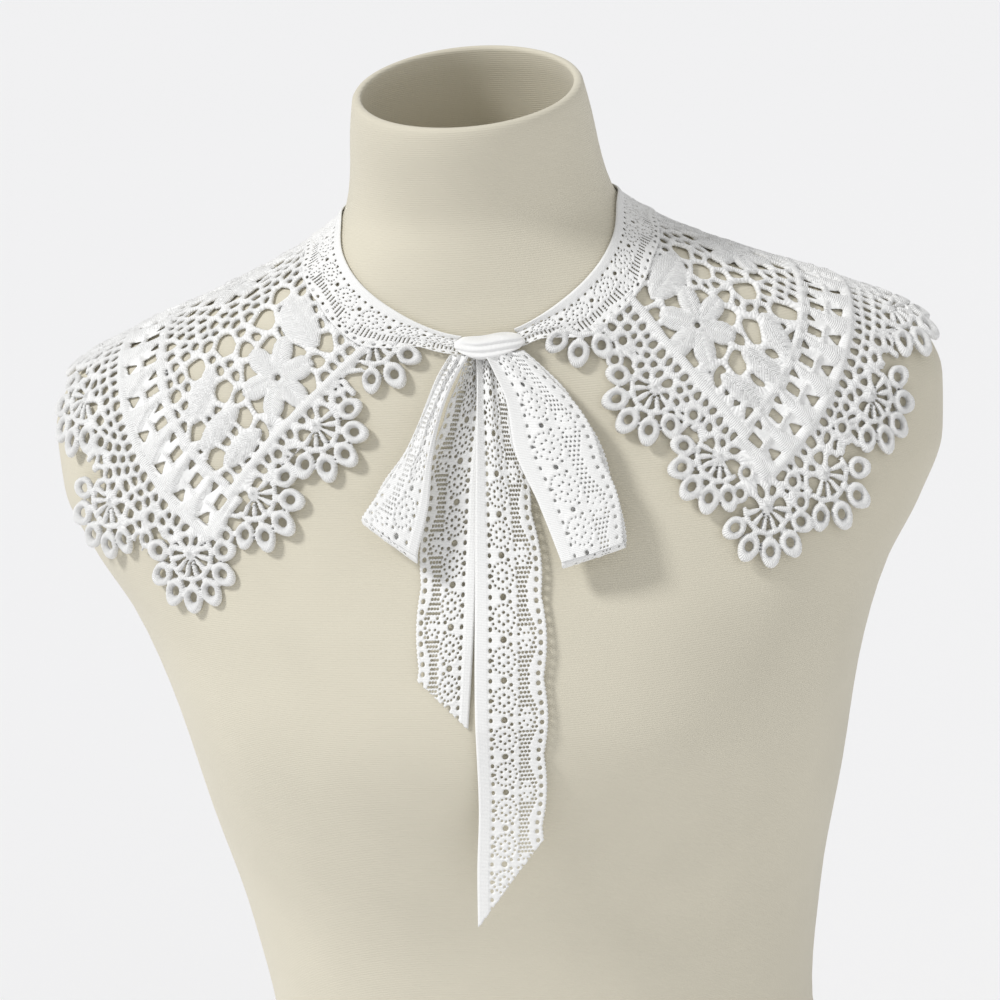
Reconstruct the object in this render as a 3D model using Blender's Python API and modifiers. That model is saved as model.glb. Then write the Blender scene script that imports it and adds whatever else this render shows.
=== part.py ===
"""Lace collar with a ribbon bow, lying on a limbless dress form.

The form is built from horizontal sections. The collar is drawn flat, as a maker would cut it,
with its scalloped edge and its open work, and is then laid on the form along lines that run
from the neck over the shoulders, chest and back. The ribbon band, bow and tails lie over it.
Metres, +Z up, front towards -Y, origin at the middle of the form's flat base.
"""
import bpy
import bmesh
import numpy as np
from math import cos, sin, pi, radians, hypot
from mathutils import Vector
from mathutils.geometry import delaunay_2d_cdt

MM = 0.001

# Dress form
FORM_COLUMNS = ("height", "half_width", "front", "back", "centre_y", "power")
FORM_SECTIONS_MM = (
    (0, 162, 100, 110, 0, 2.30),
    (40, 166, 102, 114, 0, 2.30),
    (90, 160, 98, 108, 0, 2.30),
    (150, 138, 88, 88, 0, 2.25),
    (210, 122, 83, 72, 0, 2.20),
    (270, 129, 90, 78, 0, 2.20),
    (330, 142, 108, 88, 0, 2.20),
    (380, 152, 122, 94, 0, 2.20),
    (420, 165, 113, 97, 0, 2.25),
    (450, 182, 99, 97, 0, 2.25),
    (475, 192, 89, 94, 0, 2.20),
    (500, 193, 79, 90, 0, 2.10),
    (515, 188, 73, 85, 0, 2.05),
    (525, 179, 69, 81, 0, 2.00),
    (535, 162, 65, 78, 0, 2.00),
    (545, 137, 62, 73, 0, 2.00),
    (555, 112, 60, 69, 0, 2.00),
    (565, 89, 58, 64, -1, 2.00),
    (575, 72, 56, 58, -2, 2.00),
    (588, 58, 54, 53, -3, 2.00),
    (605, 53.5, 52.5, 51.5, -8, 2.00),
    (625, 51, 51.5, 51.5, -15, 2.00),
    (660, 44, 47, 47, -23, 2.00),
)
TORSO_TOP = 590 * MM
NECK_SEAM_GAP = 0.3 * MM
RIM_HEIGHT = 641 * MM
RIM_SLOPE = 0.20
RIM_CENTRE_Y = -17 * MM
NECK_WALL = 4 * MM
RIM_ROUND = 1.5 * MM
HOLLOW_FLOOR = 500 * MM
HOLLOW_TAPER = 0.92
FORM_SIDES = 44
RING_STEP_LOW = 30 * MM
RING_STEP_HIGH = 6.5 * MM
SHOULDER_START = 430 * MM

# Neck curve that the collar's sizes are measured from
NECK_CURVE_TOP = 588 * MM
NECK_FRONT_DROP = 45 * MM
NECK_BACK_DROP = 5 * MM

# Draping lines
LINE_ANGLE_STEP = 3.0
LINE_STEP = 1 * MM
LINE_LENGTH = 172 * MM
STRAIGHT_AFTER = 60 * MM
FLAT_NECK_RADIUS = 90.5 * MM

# Collar lace
LACE_LIFT = 0.8 * MM
LACE_THICKNESS = 2.6 * MM
PLAIN_SHARE = 0.55
PETAL_SHARE = 0.9
SEAM_GAP = 0.3 * MM
SEAM_POINTS = 14
FRONT_EDGE_TURN = {-1: 106.0, 1: 103.0}
FIELD_SPACING = 12 * MM
FIELD_CLEAR = 0.45
BAND_CLEARANCE = 0.7 * MM
CORD_HALF_WIDTH = 2.0 * MM
CORD_STEPS = 34
CORD_END_TURN = 0.15
OUTER_CORD_COLUMNS = ("flat_angle", "radius")
OUTER_CORD_MM = {
    -1: ((0, 195), (35, 195), (55, 198), (66, 202), (73, 208), (79, 213), (86, 215), (90.3, 214)),
    1: ((0, 195), (35, 195), (55, 196), (65, 198), (77, 203), (83, 204), (88.9, 204)),
}
FRONT_CORD_MM = {
    -1: ((114.5, -12.4), (123, -11), (132, -9.5), (147, -7), (164, -4), (180, -2), (197, -0.5)),
    1: ((114.5, 6.6), (123, 6.3), (133, 5), (150, 4.3), (168, 4), (186, 4)),
}
SCALLOP_COLUMNS = ("x", "y", "axis", "spread", "picots")
SCALLOP_ROWS_MM = {
    -1: (
        (105, -14, -72, 70, 3),
        (148.5, -16, -86, 132, 5),
        (188, -9.5, -86, 132, 5),
        (225.5, 3, -34, 190, 7),
        (231, 50, 12, 132, 5),
    ),
    1: (
        (99, -11, -52, 70, 3),
        (143.5, -11.5, -86, 132, 5),
        (183, -9.5, -88, 118, 5),
        (212, -7, -36, 132, 5),
        (219.5, 22, 6, 106, 4),
        (211, 60, 16, 128, 5),
    ),
}
BACK_SCALLOPS = {-1: (67.3, 5.3, 6), 1: (62.7, 5.6, 5)}
SHOULDER_EXTRA = 5 * MM
SHOULDER_FROM = 45.0
SHOULDER_TO = 62.0
FAN_SPREAD = 130.0
FAN_PICOTS = 5
HUB_FROM_CORD = 14.5 * MM
PICOT_TIP = 24.3 * MM
PICOT_SHOULDER = 22.2 * MM
PICOT_VALLEY = 20.2 * MM
PICOT_HALF_ANGLE = 9.0
END_PICOT_SHRINK = 0.86
NOTCH_FROM_HUB = 3.0 * MM
WEDGE_NEAR = 4.4 * MM
WEDGE_FAR = 9.6 * MM
WEDGE_HALF_ANGLE = 13.0
WEDGE_PICOTS = 5
GAP_CLEARANCE = 1.2 * MM
TINY = 1e-12
NOTCH_GAP_MM = ((-5.5, -4.2), (-3.0, 0), (-5.5, 4.2), (-9.5, 2.6), (-9.5, -2.6))
CHANNEL_WIDTH = 22 * MM
CHANNEL_MARGIN = 1.4 * MM
CHANNEL_END_TURN = 3.0
CHANNEL_FIRST_TURN = 2.6
CHANNEL_PITCH = 4.05
CHANNEL_OUTER_GAP = (("outer", 0, -1.05), ("outer", 0, 1.05), ("middle", 1.2, 0))
CHANNEL_INNER_GAP = (
    ("inner", 0, 0.55),
    ("inner", 1.0, 1.75),
    ("middle", -0.2, 1.3),
    ("middle", -1.2, 0.45),
)

# Flowers, leaves and openings of the field, in the flat half
FIELD_SHIFT_MM = {-1: (0, 0), 1: (-5, 10)}
FLOWER_X = 144
FLOWER_Y = 10
PETALS = 6
PETAL_FIRST_ANGLE = 90.0
PETAL_MIDDLE = 9.5 * MM
PETAL_GAP_MM = ((10, 0), (14.5, -3.6), (17.5, 0), (14.5, 3.6))
BACK_FLOWER_RADIUS = 146 * MM
BACK_FLOWER_TURNS = (60, 35, 11.5)
LEAF_MIDDLES_MM = ((121, 17), (176, 6), (176, 19), (172, 33))
FRONT_GAP_COLUMNS = ("x", "y", "half_length", "half_width", "lean")
FRONT_GAPS_MM = (
    (166, 12.5, 4.5, 2.4, 0),
    (186, 12.5, 4.0, 2.4, 0),
    (163, 26, 4.5, 2.6, 8),
    (183, 26, 4.0, 2.4, 8),
    (164, 1.5, 3.6, 2.4, 60),
    (120, 2.5, 4.6, 2.6, 20),
    (131, 33, 5.0, 2.8, 60),
    (119, 36, 4.0, 2.6, 90),
    (150, 40, 4.8, 2.6, 10),
    (166, 44, 4.4, 2.6, 40),
)
RING_GAPS_MM = (
    (117, 4.0, 2.4, (6, 17, 28, 39, 50, 61)),
    (163, 3.6, 2.6, (5, 17, 29, 41, 53, 66)),
)

# Ribbon
RIBBON_WALL = 1.2 * MM
BAND_LIFT = 0.7 * MM
BAND_WIDTH = 21 * MM
BAND_FRONT_WIDTH = 9 * MM
BAND_NARROW_FROM = 95.0
BAND_NARROW_TO = 110.0
BAND_WALL = 2.0 * MM
BAND_END_LEFT_X = -8.4 * MM
BAND_END_RIGHT_X = 16.4 * MM
BAND_LAST_TURN = 108.0
BAND_ANGLE_STEP = 4.5

KNOT_CENTRE_X = 4 * MM
KNOT_CENTRE_Z = 538.5 * MM
KNOT_HALF_WIDTH = 12 * MM
KNOT_HALF_HEIGHT = 6 * MM
KNOT_INNER_LIFT = 0.7 * MM
KNOT_DEPTH = 12.5 * MM
KNOT_SIDE_ROUND = 0.35
KNOT_EDGE_ROUND = 0.25
KNOT_CUTS = 5

HANG_FROM = 392 * MM
RIBBON_STATIONS = 13
RIBBON_ACROSS = 5

# Ribbon pieces: each row is a level with its left and right edge and its lift off the form
RIBBON_COLUMNS = ("height", "left_x", "right_x", "lift")
TAIL_LEFT_MM = (
    (532, -6, 2, 1.0),
    (515, -14, 0, 1.2),
    (490, -23, -4, 1.6),
    (460, -29, -8, 1.8),
    (430, -33, -11, 1.4),
    (408, -34, -14, 1.2),
)
TAIL_LEFT_END_MM = (412, 392)
TAIL_RIGHT_MM = (
    (532, -1, 9, 4.0),
    (515, -3, 13, 4.4),
    (480, -5, 18, 4.2),
    (440, -7, 21, 3.8),
    (400, -9.5, 18.5, 3.2),
    (360, -12, 16, 3.2),
    (330, -15, 13, 3.2),
)
TAIL_RIGHT_END_MM = (306, 343)
LOOP_LEFT_MM = (
    (532, -8, 0, 7.0),
    (519, -24, -16, 8.0),
    (500, -34, -22, 8.6),
    (488, -43, -24, 9.0),
    (473, -52, -30, 9.0),
)
LOOP_LEFT_FOLD_MM = (479, 463)
LOOP_RIGHT_MM = (
    (532, 6, 16, 7.0),
    (519, 10, 37, 8.0),
    (503, 12, 46, 8.6),
    (482, 21, 53, 9.0),
    (462, 29, 56, 9.0),
)
LOOP_RIGHT_FOLD_MM = (458, 464)
LOOP_OPENING = 5.5 * MM
LOOP_TOP_SHARE = 0.35
LOOP_TURNS = (45, 90, 135)
TAIL_SLANT_POWER = 4
LOOP_SLANT_POWER = 3


def smooth_column(heights, values, at):
    """Monotone cubic through a column of the section table."""
    xs = np.asarray(heights, float)
    ys = np.asarray(values, float)
    gap = np.diff(xs)
    slope = np.diff(ys) / gap
    tangent = np.zeros(len(xs))
    tangent[0] = slope[0]
    tangent[-1] = slope[-1]
    for i in range(1, len(xs) - 1):
        if slope[i - 1] * slope[i] > 0:
            w1 = 2 * gap[i] + gap[i - 1]
            w2 = gap[i] + 2 * gap[i - 1]
            tangent[i] = (w1 + w2) / (w1 / slope[i - 1] + w2 / slope[i])
    at = np.asarray(at, float)
    k = np.clip(np.searchsorted(xs, at) - 1, 0, len(xs) - 2)
    t = (at - xs[k]) / gap[k]
    start = (2 * t ** 3 - 3 * t ** 2 + 1) * ys[k] + (t ** 3 - 2 * t ** 2 + t) * gap[k] * tangent[k]
    end = (3 * t ** 2 - 2 * t ** 3) * ys[k + 1] + (t ** 3 - t ** 2) * gap[k] * tangent[k + 1]
    return start + end


def table_columns(names, rows):
    """Columns of a table by name, lengths turned from millimetres to metres."""
    values = np.array(rows, float).T
    return {name: column * (1 if name == "power" else MM) for name, column in zip(names, values)}


FORM = table_columns(FORM_COLUMNS, FORM_SECTIONS_MM)


def section(z):
    """Half width, front depth, back depth, centre y and power at a height."""
    return [smooth_column(FORM["height"], FORM[name], z) for name in FORM_COLUMNS[1:]]


def form_point(angle, z):
    """Point on the form at an angle round it in degrees, 0 in front and 90 at +X."""
    half, front, back, centre, power = section(z)
    turn = np.radians(angle)
    across = np.sin(turn)
    along = -np.cos(turn)
    depth = np.where(along < 0, front, back)
    reach = (np.abs(across / half) ** power + np.abs(along / depth) ** power) ** (-1 / power)
    return np.stack([reach * across, centre + reach * along, np.asarray(z) + 0 * reach], -1)


def form_frame(angle, z):
    """Tangents round and up the form, and its outward normal."""
    turn_step = 0.05
    rise_step = 0.2 * MM
    around = (form_point(angle + turn_step, z) - form_point(angle - turn_step, z)) / (2 * turn_step)
    upward = (form_point(angle, z + rise_step) - form_point(angle, z - rise_step)) / (2 * rise_step)
    normal = unit(np.cross(around, upward))
    return around, upward, normal


def unit(v):
    return v / np.linalg.norm(v, axis=-1, keepdims=True)


def neck_height(angle):
    """Height of the neck curve, lowest in front."""
    side = np.cos(np.radians(angle))
    drop = np.where(np.abs(angle) < 90, NECK_FRONT_DROP, NECK_BACK_DROP)
    return NECK_CURVE_TOP - drop * side * side


def surface_step(angle, z, direction, length):
    """Change of angle and height for a move along the form."""
    around, upward, _ = form_frame(angle, z)
    aa = (around * around).sum(-1)
    au = (around * upward).sum(-1)
    uu = (upward * upward).sum(-1)
    da = (around * direction).sum(-1)
    du = (upward * direction).sum(-1)
    det = aa * uu - au * au
    return (da * uu - du * au) / det * length, (aa * du - au * da) / det * length


def draping_lines():
    """Lines over the form from the neck curve, square to it, then straight in plan."""
    start = np.arange(0, 180.01, LINE_ANGLE_STEP)
    half_degree = 0.5
    angle = start.copy()
    z = neck_height(start)
    before = form_point(start - half_degree, neck_height(start - half_degree))
    after = form_point(start + half_degree, neck_height(start + half_degree))
    _, _, normal = form_frame(angle, z)
    direction = unit(np.cross(after - before, normal))
    direction *= -np.sign(direction[:, 2:3])
    places = [form_point(angle, z)]
    cross_plane = None
    for k in range(int(round(LINE_LENGTH / LINE_STEP))):
        if k * LINE_STEP >= STRAIGHT_AFTER:
            if cross_plane is None:
                heading = np.degrees(np.arctan2(direction[:, 0], -direction[:, 1]))
                heading = np.radians(np.maximum.accumulate(heading))
                cross_plane = np.stack([-np.cos(heading), -np.sin(heading), 0 * heading], -1)
            _, _, normal = form_frame(angle, z)
            ahead = unit(np.cross(normal, cross_plane))
            direction = ahead * np.sign((ahead * direction).sum(-1, keepdims=True))
        else:
            _, _, normal = form_frame(angle, z)
            direction = unit(direction - (direction * normal).sum(-1, keepdims=True) * normal)
        turn, rise = surface_step(angle, z, direction, LINE_STEP / 2)
        turn, rise = surface_step(angle + turn, z + rise, direction, LINE_STEP)
        angle = angle + turn
        z = z + rise
        places.append(form_point(angle, z))
    return start, np.stack(places, 1)


def nearest_on_form(places):
    """Places moved along the form's normal onto it, with the normals."""
    for _ in range(2):
        z = places[..., 2]
        centre = section(z)[3]
        angle = np.degrees(np.arctan2(places[..., 0], centre - places[..., 1]))
        _, _, normal = form_frame(angle, z)
        off = ((places - form_point(angle, z)) * normal).sum(-1, keepdims=True)
        places = places - off * normal
    return places, normal


def settled_grid():
    """Grid of the flat half collar, settled on the form so that it keeps its flat lengths."""
    starts, lines = draping_lines()
    lengths = np.zeros(lines.shape[:2])
    lengths[:-1] = np.cumsum(np.linalg.norm(np.diff(lines, axis=0), axis=2)[::-1], axis=0)[::-1]
    radii = FLAT_NECK_RADIUS + GRID_LEVELS
    flat = np.stack([radii[:, None] * np.sin(GRID_TURNS), radii[:, None] * np.cos(GRID_TURNS)], -1)
    places = np.zeros((*flat.shape[:2], 3))
    for i, level in enumerate(GRID_LEVELS):
        j = int(round(level / LINE_STEP))
        wanted = lengths[0, j] * GRID_TURNS / GRID_TURNS[-1]
        angle = np.interp(-wanted, -lengths[:, j], starts)
        for c in range(3):
            places[i, :, c] = np.interp(angle, starts, lines[:, j, c])
    whole = slice(None)
    links = (
        (slice(0, -1), whole, slice(1, None), whole),
        (whole, slice(0, -1), whole, slice(1, None)),
        (slice(0, -1), slice(0, -1), slice(1, None), slice(1, None)),
        (slice(0, -1), slice(1, None), slice(1, None), slice(0, -1)),
        (slice(0, -2), whole, slice(2, None), whole),
        (whole, slice(0, -2), whole, slice(2, None)),
    )
    rest = [np.linalg.norm(flat[a, b] - flat[c, d], axis=-1) for a, b, c, d in links]
    for _ in range(SETTLE_ROUNDS):
        push = np.zeros_like(places)
        count = np.zeros((*flat.shape[:2], 1))
        for (a, b, c, d), wanted in zip(links, rest):
            span = places[c, d] - places[a, b]
            length = np.linalg.norm(span, axis=-1)
            part_way = (0.5 * (length - wanted) / length)[..., None] * span
            push[a, b] += part_way
            push[c, d] -= part_way
            count[a, b] += 1
            count[c, d] += 1
        places = places + push / count
        places[:, 0, 0] = 0
        angle = np.degrees(np.arctan2(places[0, :, 0], section(places[0, :, 2])[3] - places[0, :, 1]))
        places[0] = form_point(angle, neck_height(angle))
        places[1:], _ = nearest_on_form(places[1:])
    return places


GRID_LEVELS = np.arange(0, 171, 10) * MM
GRID_TURNS = np.radians(np.arange(0, 127.6, 3.0))
SETTLE_ROUNDS = 400
GRID = settled_grid()


def drape_all(flat_places, lifts, side):
    """Places on the form of points of the flat half collar, side +1 or -1."""
    flat_places = np.asarray(flat_places, float)
    radius = np.hypot(flat_places[:, 0], flat_places[:, 1])
    row = (radius - FLAT_NECK_RADIUS - GRID_LEVELS[0]) / (GRID_LEVELS[1] - GRID_LEVELS[0])
    column = np.arctan2(flat_places[:, 0], flat_places[:, 1]) / (GRID_TURNS[1] - GRID_TURNS[0])
    i = np.clip(row.astype(int), 0, len(GRID_LEVELS) - 2)
    j = np.clip(column.astype(int), 0, len(GRID_TURNS) - 2)
    u = (row - i)[:, None]
    v = (column - j)[:, None]
    near = GRID[i, j] * (1 - v) + GRID[i, j + 1] * v
    far = GRID[i + 1, j] * (1 - v) + GRID[i + 1, j + 1] * v
    places, normal = nearest_on_form(near * (1 - u) + far * u)
    places = places + normal * np.asarray(lifts, float)[:, None]
    places[:, 0] *= side
    return places


def smooth_share(value, low, high):
    t = min(max((value - low) / (high - low), 0.0), 1.0)
    return t * t * (3 - 2 * t)


def band_width(turn):
    """Width of the neckband at a flat angle from the centre back, narrow where it is folded in front."""
    extra = BAND_WIDTH - BAND_FRONT_WIDTH
    return BAND_WIDTH - extra * smooth_share(turn, BAND_NARROW_FROM, BAND_NARROW_TO)


# Flat pattern of one half, side -1 for the left and +1 for the right


def cord_radius(turn, side):
    """Radius of the outer cord at an angle from the centre back, in degrees."""
    rows = np.array(OUTER_CORD_MM[side], float)
    return float(smooth_column(rows[:, 0], rows[:, 1], turn)) * MM


def polar(radius, turn):
    return (radius * sin(radians(turn)), radius * cos(radians(turn)))


def local(hub, axis, forward, aside):
    """Point ahead of a hub along an axis angle, and aside to its left."""
    c = cos(radians(axis))
    s = sin(radians(axis))
    return (hub[0] + c * forward - s * aside, hub[1] + s * forward + c * aside)


def local_polar(hub, axis, reach, beta):
    return local(hub, axis, reach * cos(radians(beta)), reach * sin(radians(beta)))


def spread_angles(spread, count):
    """Angles of a scallop's picots, evenly spread about its axis."""
    return [spread * (i / (count - 1) - 0.5) for i in range(count)]


def fans(side):
    """Hub, axis and picot angles of each scallop, from the front round to the back."""
    rows = []
    for row in SCALLOP_ROWS_MM[side]:
        values = dict(zip(SCALLOP_COLUMNS, row))
        hub = (values["x"] * MM, values["y"] * MM)
        rows.append((hub, values["axis"], spread_angles(values["spread"], values["picots"])))
    first, last, steps = BACK_SCALLOPS[side]
    for k in range(steps + 1):
        turn = first + (last - first) * k / steps
        extra = SHOULDER_EXTRA * smooth_share(turn, SHOULDER_FROM, SHOULDER_TO)
        hub = polar(cord_radius(turn, side) + HUB_FROM_CORD + extra, turn)
        rows.append((hub, 90.0 - turn, spread_angles(FAN_SPREAD, FAN_PICOTS)))
    return rows


def fan_outline(hub, axis, picots):
    """Outline of a scallop: each picot has two shoulders and a tip, with valleys between."""
    points = []
    for i, beta in enumerate(picots):
        size = END_PICOT_SHRINK if i in (0, len(picots) - 1) else 1.0
        if i:
            middle = (picots[i - 1] + beta) / 2
            points.append(local_polar(hub, axis, PICOT_VALLEY * (size + 1) / 2, middle))
        for turn, reach in (
            (-PICOT_HALF_ANGLE, PICOT_SHOULDER),
            (0, PICOT_TIP),
            (PICOT_HALF_ANGLE, PICOT_SHOULDER),
        ):
            points.append(local_polar(hub, axis, reach * size, beta + turn))
    return points


def notch_between(first, second):
    """Bottom of the notch between two scallops."""
    middle = ((first[0][0] + second[0][0]) / 2, (first[0][1] + second[0][1]) / 2)
    return local(middle, (first[1] + second[1]) / 2, NOTCH_FROM_HUB, 0)


def collar_outline(side):
    """Scalloped outline of a half, round from the centre back."""
    points = []
    seam = SEAM_GAP / 2
    for turn in np.arange(0, FRONT_EDGE_TURN[side], BAND_ANGLE_STEP):
        points.append(polar(FLAT_NECK_RADIUS + band_width(turn) + BAND_CLEARANCE, turn))
    rows = fans(side)
    for i, (hub, axis, picots) in enumerate(rows):
        points += fan_outline(hub, axis, picots)
        if i + 1 < len(rows):
            points.append(notch_between(rows[i], rows[i + 1]))
    last_reach = cord_radius(0, side) + HUB_FROM_CORD + NOTCH_FROM_HUB
    for y in np.linspace(last_reach, points[0][1], SEAM_POINTS)[:-1]:
        points.append((seam, float(y)))
    return [(max(x, seam), y) for x, y in points]


def cord_lines(side):
    """Raised cords of the half: front cord, outer cord and inner cord."""
    front = [(x * MM, y * MM) for x, y in FRONT_CORD_MM[side]]
    line = []
    for (x1, y1), (x2, y2) in zip(front, front[1:]):
        line += [(x1, y1), ((x1 + x2) / 2, (y1 + y2) / 2)]
    corner_turn = OUTER_CORD_MM[side][-1][0]
    inner_turn = corner_turn - CHANNEL_END_TURN
    inner = []
    for k in range(CORD_STEPS + 1):
        turn = corner_turn * (1 - k / CORD_STEPS)
        line.append(polar(cord_radius(turn, side), max(turn, CORD_END_TURN)))
        turn = inner_turn * (1 - k / CORD_STEPS)
        inner.append(polar(cord_radius(turn, side) - CHANNEL_WIDTH, max(turn, CORD_END_TURN)))
    return [line, inner]


def wedge_gaps(hub, axis, picots):
    """Open wedges between the spokes of a scallop's half flower, one between each two picots."""
    rows = []
    if len(picots) < WEDGE_PICOTS:
        return rows
    for beta in [(a + b) / 2 for a, b in zip(picots, picots[1:])]:
        rows.append([
            local_polar(hub, axis, WEDGE_NEAR, beta),
            local_polar(hub, axis, WEDGE_FAR, beta - WEDGE_HALF_ANGLE),
            local_polar(hub, axis, WEDGE_FAR, beta + WEDGE_HALF_ANGLE),
        ])
    return rows


def notch_gap(first, second):
    """Opening between two scallops beside the cord."""
    base = notch_between(first, second)
    axis = (first[1] + second[1]) / 2
    return [local(base, axis, forward * MM, aside * MM) for forward, aside in NOTCH_GAP_MM]


def channel_gaps(side):
    """Row of openings between the leaf fans of the channel between the two cords."""
    rows = []
    last_turn = OUTER_CORD_MM[side][-1][0] - CHANNEL_END_TURN - 1
    count = int((last_turn - CHANNEL_FIRST_TURN) / CHANNEL_PITCH) + 1
    margin = CORD_HALF_WIDTH + CHANNEL_MARGIN
    for k in range(count):
        turn = CHANNEL_FIRST_TURN + CHANNEL_PITCH * k
        outer = cord_radius(turn, side) - margin
        inner = cord_radius(turn, side) - CHANNEL_WIDTH + margin
        middle = (outer + inner) / 2
        for shape in (CHANNEL_OUTER_GAP, CHANNEL_INNER_GAP):
            points = []
            for level, shift, aside in shape:
                base = {"outer": outer, "middle": middle, "inner": inner}[level]
                points.append(polar(base + shift * MM, turn + aside))
            rows.append(points)
    return rows


def field_gaps(side):
    """Openings of the field: between petals, between the leaves and along the rows of bars."""
    rows = []
    for flower_x, flower_y in field_flowers(side):
        for k in range(PETALS):
            direction = PETAL_FIRST_ANGLE + 360 / PETALS * (k + 0.5)
            rows.append([
                local((flower_x, flower_y), direction, forward * MM, aside * MM)
                for forward, aside in PETAL_GAP_MM
            ])
    shift_x, shift_y = FIELD_SHIFT_MM[side]
    for x, y, half_x, half_y, lean in FRONT_GAPS_MM:
        centre = ((x + shift_x) * MM, (y + shift_y) * MM)
        rows.append([
            local(centre, lean, -half_x * MM, 0),
            local(centre, lean, 0, -half_y * MM),
            local(centre, lean, half_x * MM, 0),
            local(centre, lean, 0, half_y * MM),
        ])
    for radius, half_long, half_wide, turns in RING_GAPS_MM:
        for turn in turns:
            centre = polar(radius * MM, turn)
            rows.append([
                local(centre, 90.0 - turn, -half_wide * MM, 0),
                local(centre, 90.0 - turn, 0, -half_long * MM),
                local(centre, 90.0 - turn, half_wide * MM, 0),
                local(centre, 90.0 - turn, 0, half_long * MM),
            ])
    return rows


def field_flowers(side):
    """Centres of the field flowers: the front one and those of the shoulder and back."""
    shift_x, shift_y = FIELD_SHIFT_MM[side]
    rows = [((FLOWER_X + shift_x) * MM, (FLOWER_Y + shift_y) * MM)]
    for turn in BACK_FLOWER_TURNS:
        rows.append(polar(BACK_FLOWER_RADIUS, turn))
    return rows


def collar_gaps(side):
    """All the openings that are cut through one half."""
    rows = fans(side)
    gaps = []
    for i, (hub, axis, picots) in enumerate(rows):
        gaps += wedge_gaps(hub, axis, picots)
        if 0 < i < len(rows) - 1:
            gaps.append(notch_gap(rows[i], rows[i + 1]))
    gaps += channel_gaps(side) + field_gaps(side)
    outline = collar_outline(side)
    edges = cord_lines(side) + [outline + outline[:1]]
    return [gap for gap in gaps if clear_of(gap, edges) and inside(gap[0], outline)]


def clear_of(gap, lines):
    """Whether the corners and middle of an opening stay clear of some lines."""
    corners = np.array(list(gap) + [np.mean(gap, axis=0)])
    for line in lines:
        points = np.array(line)
        start = points[:-1, None]
        along = points[1:, None] - start
        span = np.maximum((along ** 2).sum(2), TINY)
        share = np.clip(((corners[None] - start) * along).sum(2) / span, 0, 1)
        away = corners[None] - start - share[..., None] * along
        if np.sqrt((away ** 2).sum(2)).min() < GAP_CLEARANCE:
            return False
    return True


def raised_points(side):
    """Middles of petals and leaves, which stand up from the lace."""
    points = []
    for flower in field_flowers(side):
        for k in range(PETALS):
            points.append(local(flower, PETAL_FIRST_ANGLE + 360 / PETALS * k, PETAL_MIDDLE, 0))
    shift_x, shift_y = FIELD_SHIFT_MM[side]
    for x, y in LEAF_MIDDLES_MM:
        points.append(((x + shift_x) * MM, (y + shift_y) * MM))
    return points


def inside(point, polygon):
    """Even-odd test of a point in a polygon."""
    x, y = point
    hit = False
    for (x1, y1), (x2, y2) in zip(polygon, polygon[1:] + polygon[:1]):
        if (y1 > y) != (y2 > y) and x < (x2 - x1) * (y - y1) / (y2 - y1) + x1:
            hit = not hit
    return hit


def flat_mesh(outline, gaps, ridges, bumps):
    """Triangles of the flat pattern with its gaps left out, and each vertex's raise."""
    points = []
    edges = []
    raise_at = []

    def add_run(run, closed, raised):
        first = len(points)
        points.extend(Vector(p) for p in run)
        raise_at.extend([raised] * len(run))
        edges.extend((first + i, first + i + 1) for i in range(len(run) - 1))
        if closed:
            edges.append((first + len(run) - 1, first))

    add_run(outline, True, PLAIN_SHARE)
    for gap in gaps:
        add_run(gap, True, PLAIN_SHARE)
    for ridge in ridges:
        add_run(ridge, False, 1.0)
    for bump in bumps:
        points.append(Vector(bump))
        raise_at.append(PETAL_SHARE)
    fixed = np.array([tuple(p) for p in points])
    spacing = FIELD_SPACING
    clear = FIELD_CLEAR * spacing
    low = fixed.min(axis=0)
    high = fixed.max(axis=0)
    for x in np.arange(low[0] + spacing / 2, high[0], spacing):
        for y in np.arange(low[1] + spacing / 2, high[1], spacing):
            if np.hypot(fixed[:, 0] - x, fixed[:, 1] - y).min() < clear:
                continue
            if inside((x, y), outline) and not any(inside((x, y), gap) for gap in gaps):
                points.append(Vector((x, y)))
                raise_at.append(PLAIN_SHARE)
    made, _, faces, origins, _, _ = delaunay_2d_cdt(points, edges, [], 0, 1e-7)
    kept = []
    for face in faces:
        middle = (
            sum(made[i][0] for i in face) / 3,
            sum(made[i][1] for i in face) / 3,
        )
        if inside(middle, outline) and not any(inside(middle, gap) for gap in gaps):
            kept.append(tuple(face))
    weights = []
    for origin in origins:
        weights.append(max((raise_at[i] for i in origin), default=PLAIN_SHARE))
    return [tuple(p) for p in made], kept, weights


# Making objects


def new_collection(name):
    collection = bpy.data.collections.new(name)
    bpy.context.scene.collection.children.link(collection)
    return collection


def make_material(name, colour, roughness):
    material = bpy.data.materials.new(name)
    material.use_nodes = True
    shader = material.node_tree.nodes["Principled BSDF"]
    shader.inputs["Base Color"].default_value = (*colour, 1.0)
    shader.inputs["Roughness"].default_value = roughness
    shader.inputs["Metallic"].default_value = 0.0
    return material


def make_object(name, vertices, faces, material, collection, smooth_angle=40.0):
    mesh = bpy.data.meshes.new(name)
    mesh.from_pydata([tuple(v) for v in vertices], [], faces)
    mesh.materials.append(material)
    mesh.shade_smooth()
    mesh.set_sharp_from_angle(angle=radians(smooth_angle))
    piece = bpy.data.objects.new(name, mesh)
    collection.objects.link(piece)
    return piece


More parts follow.
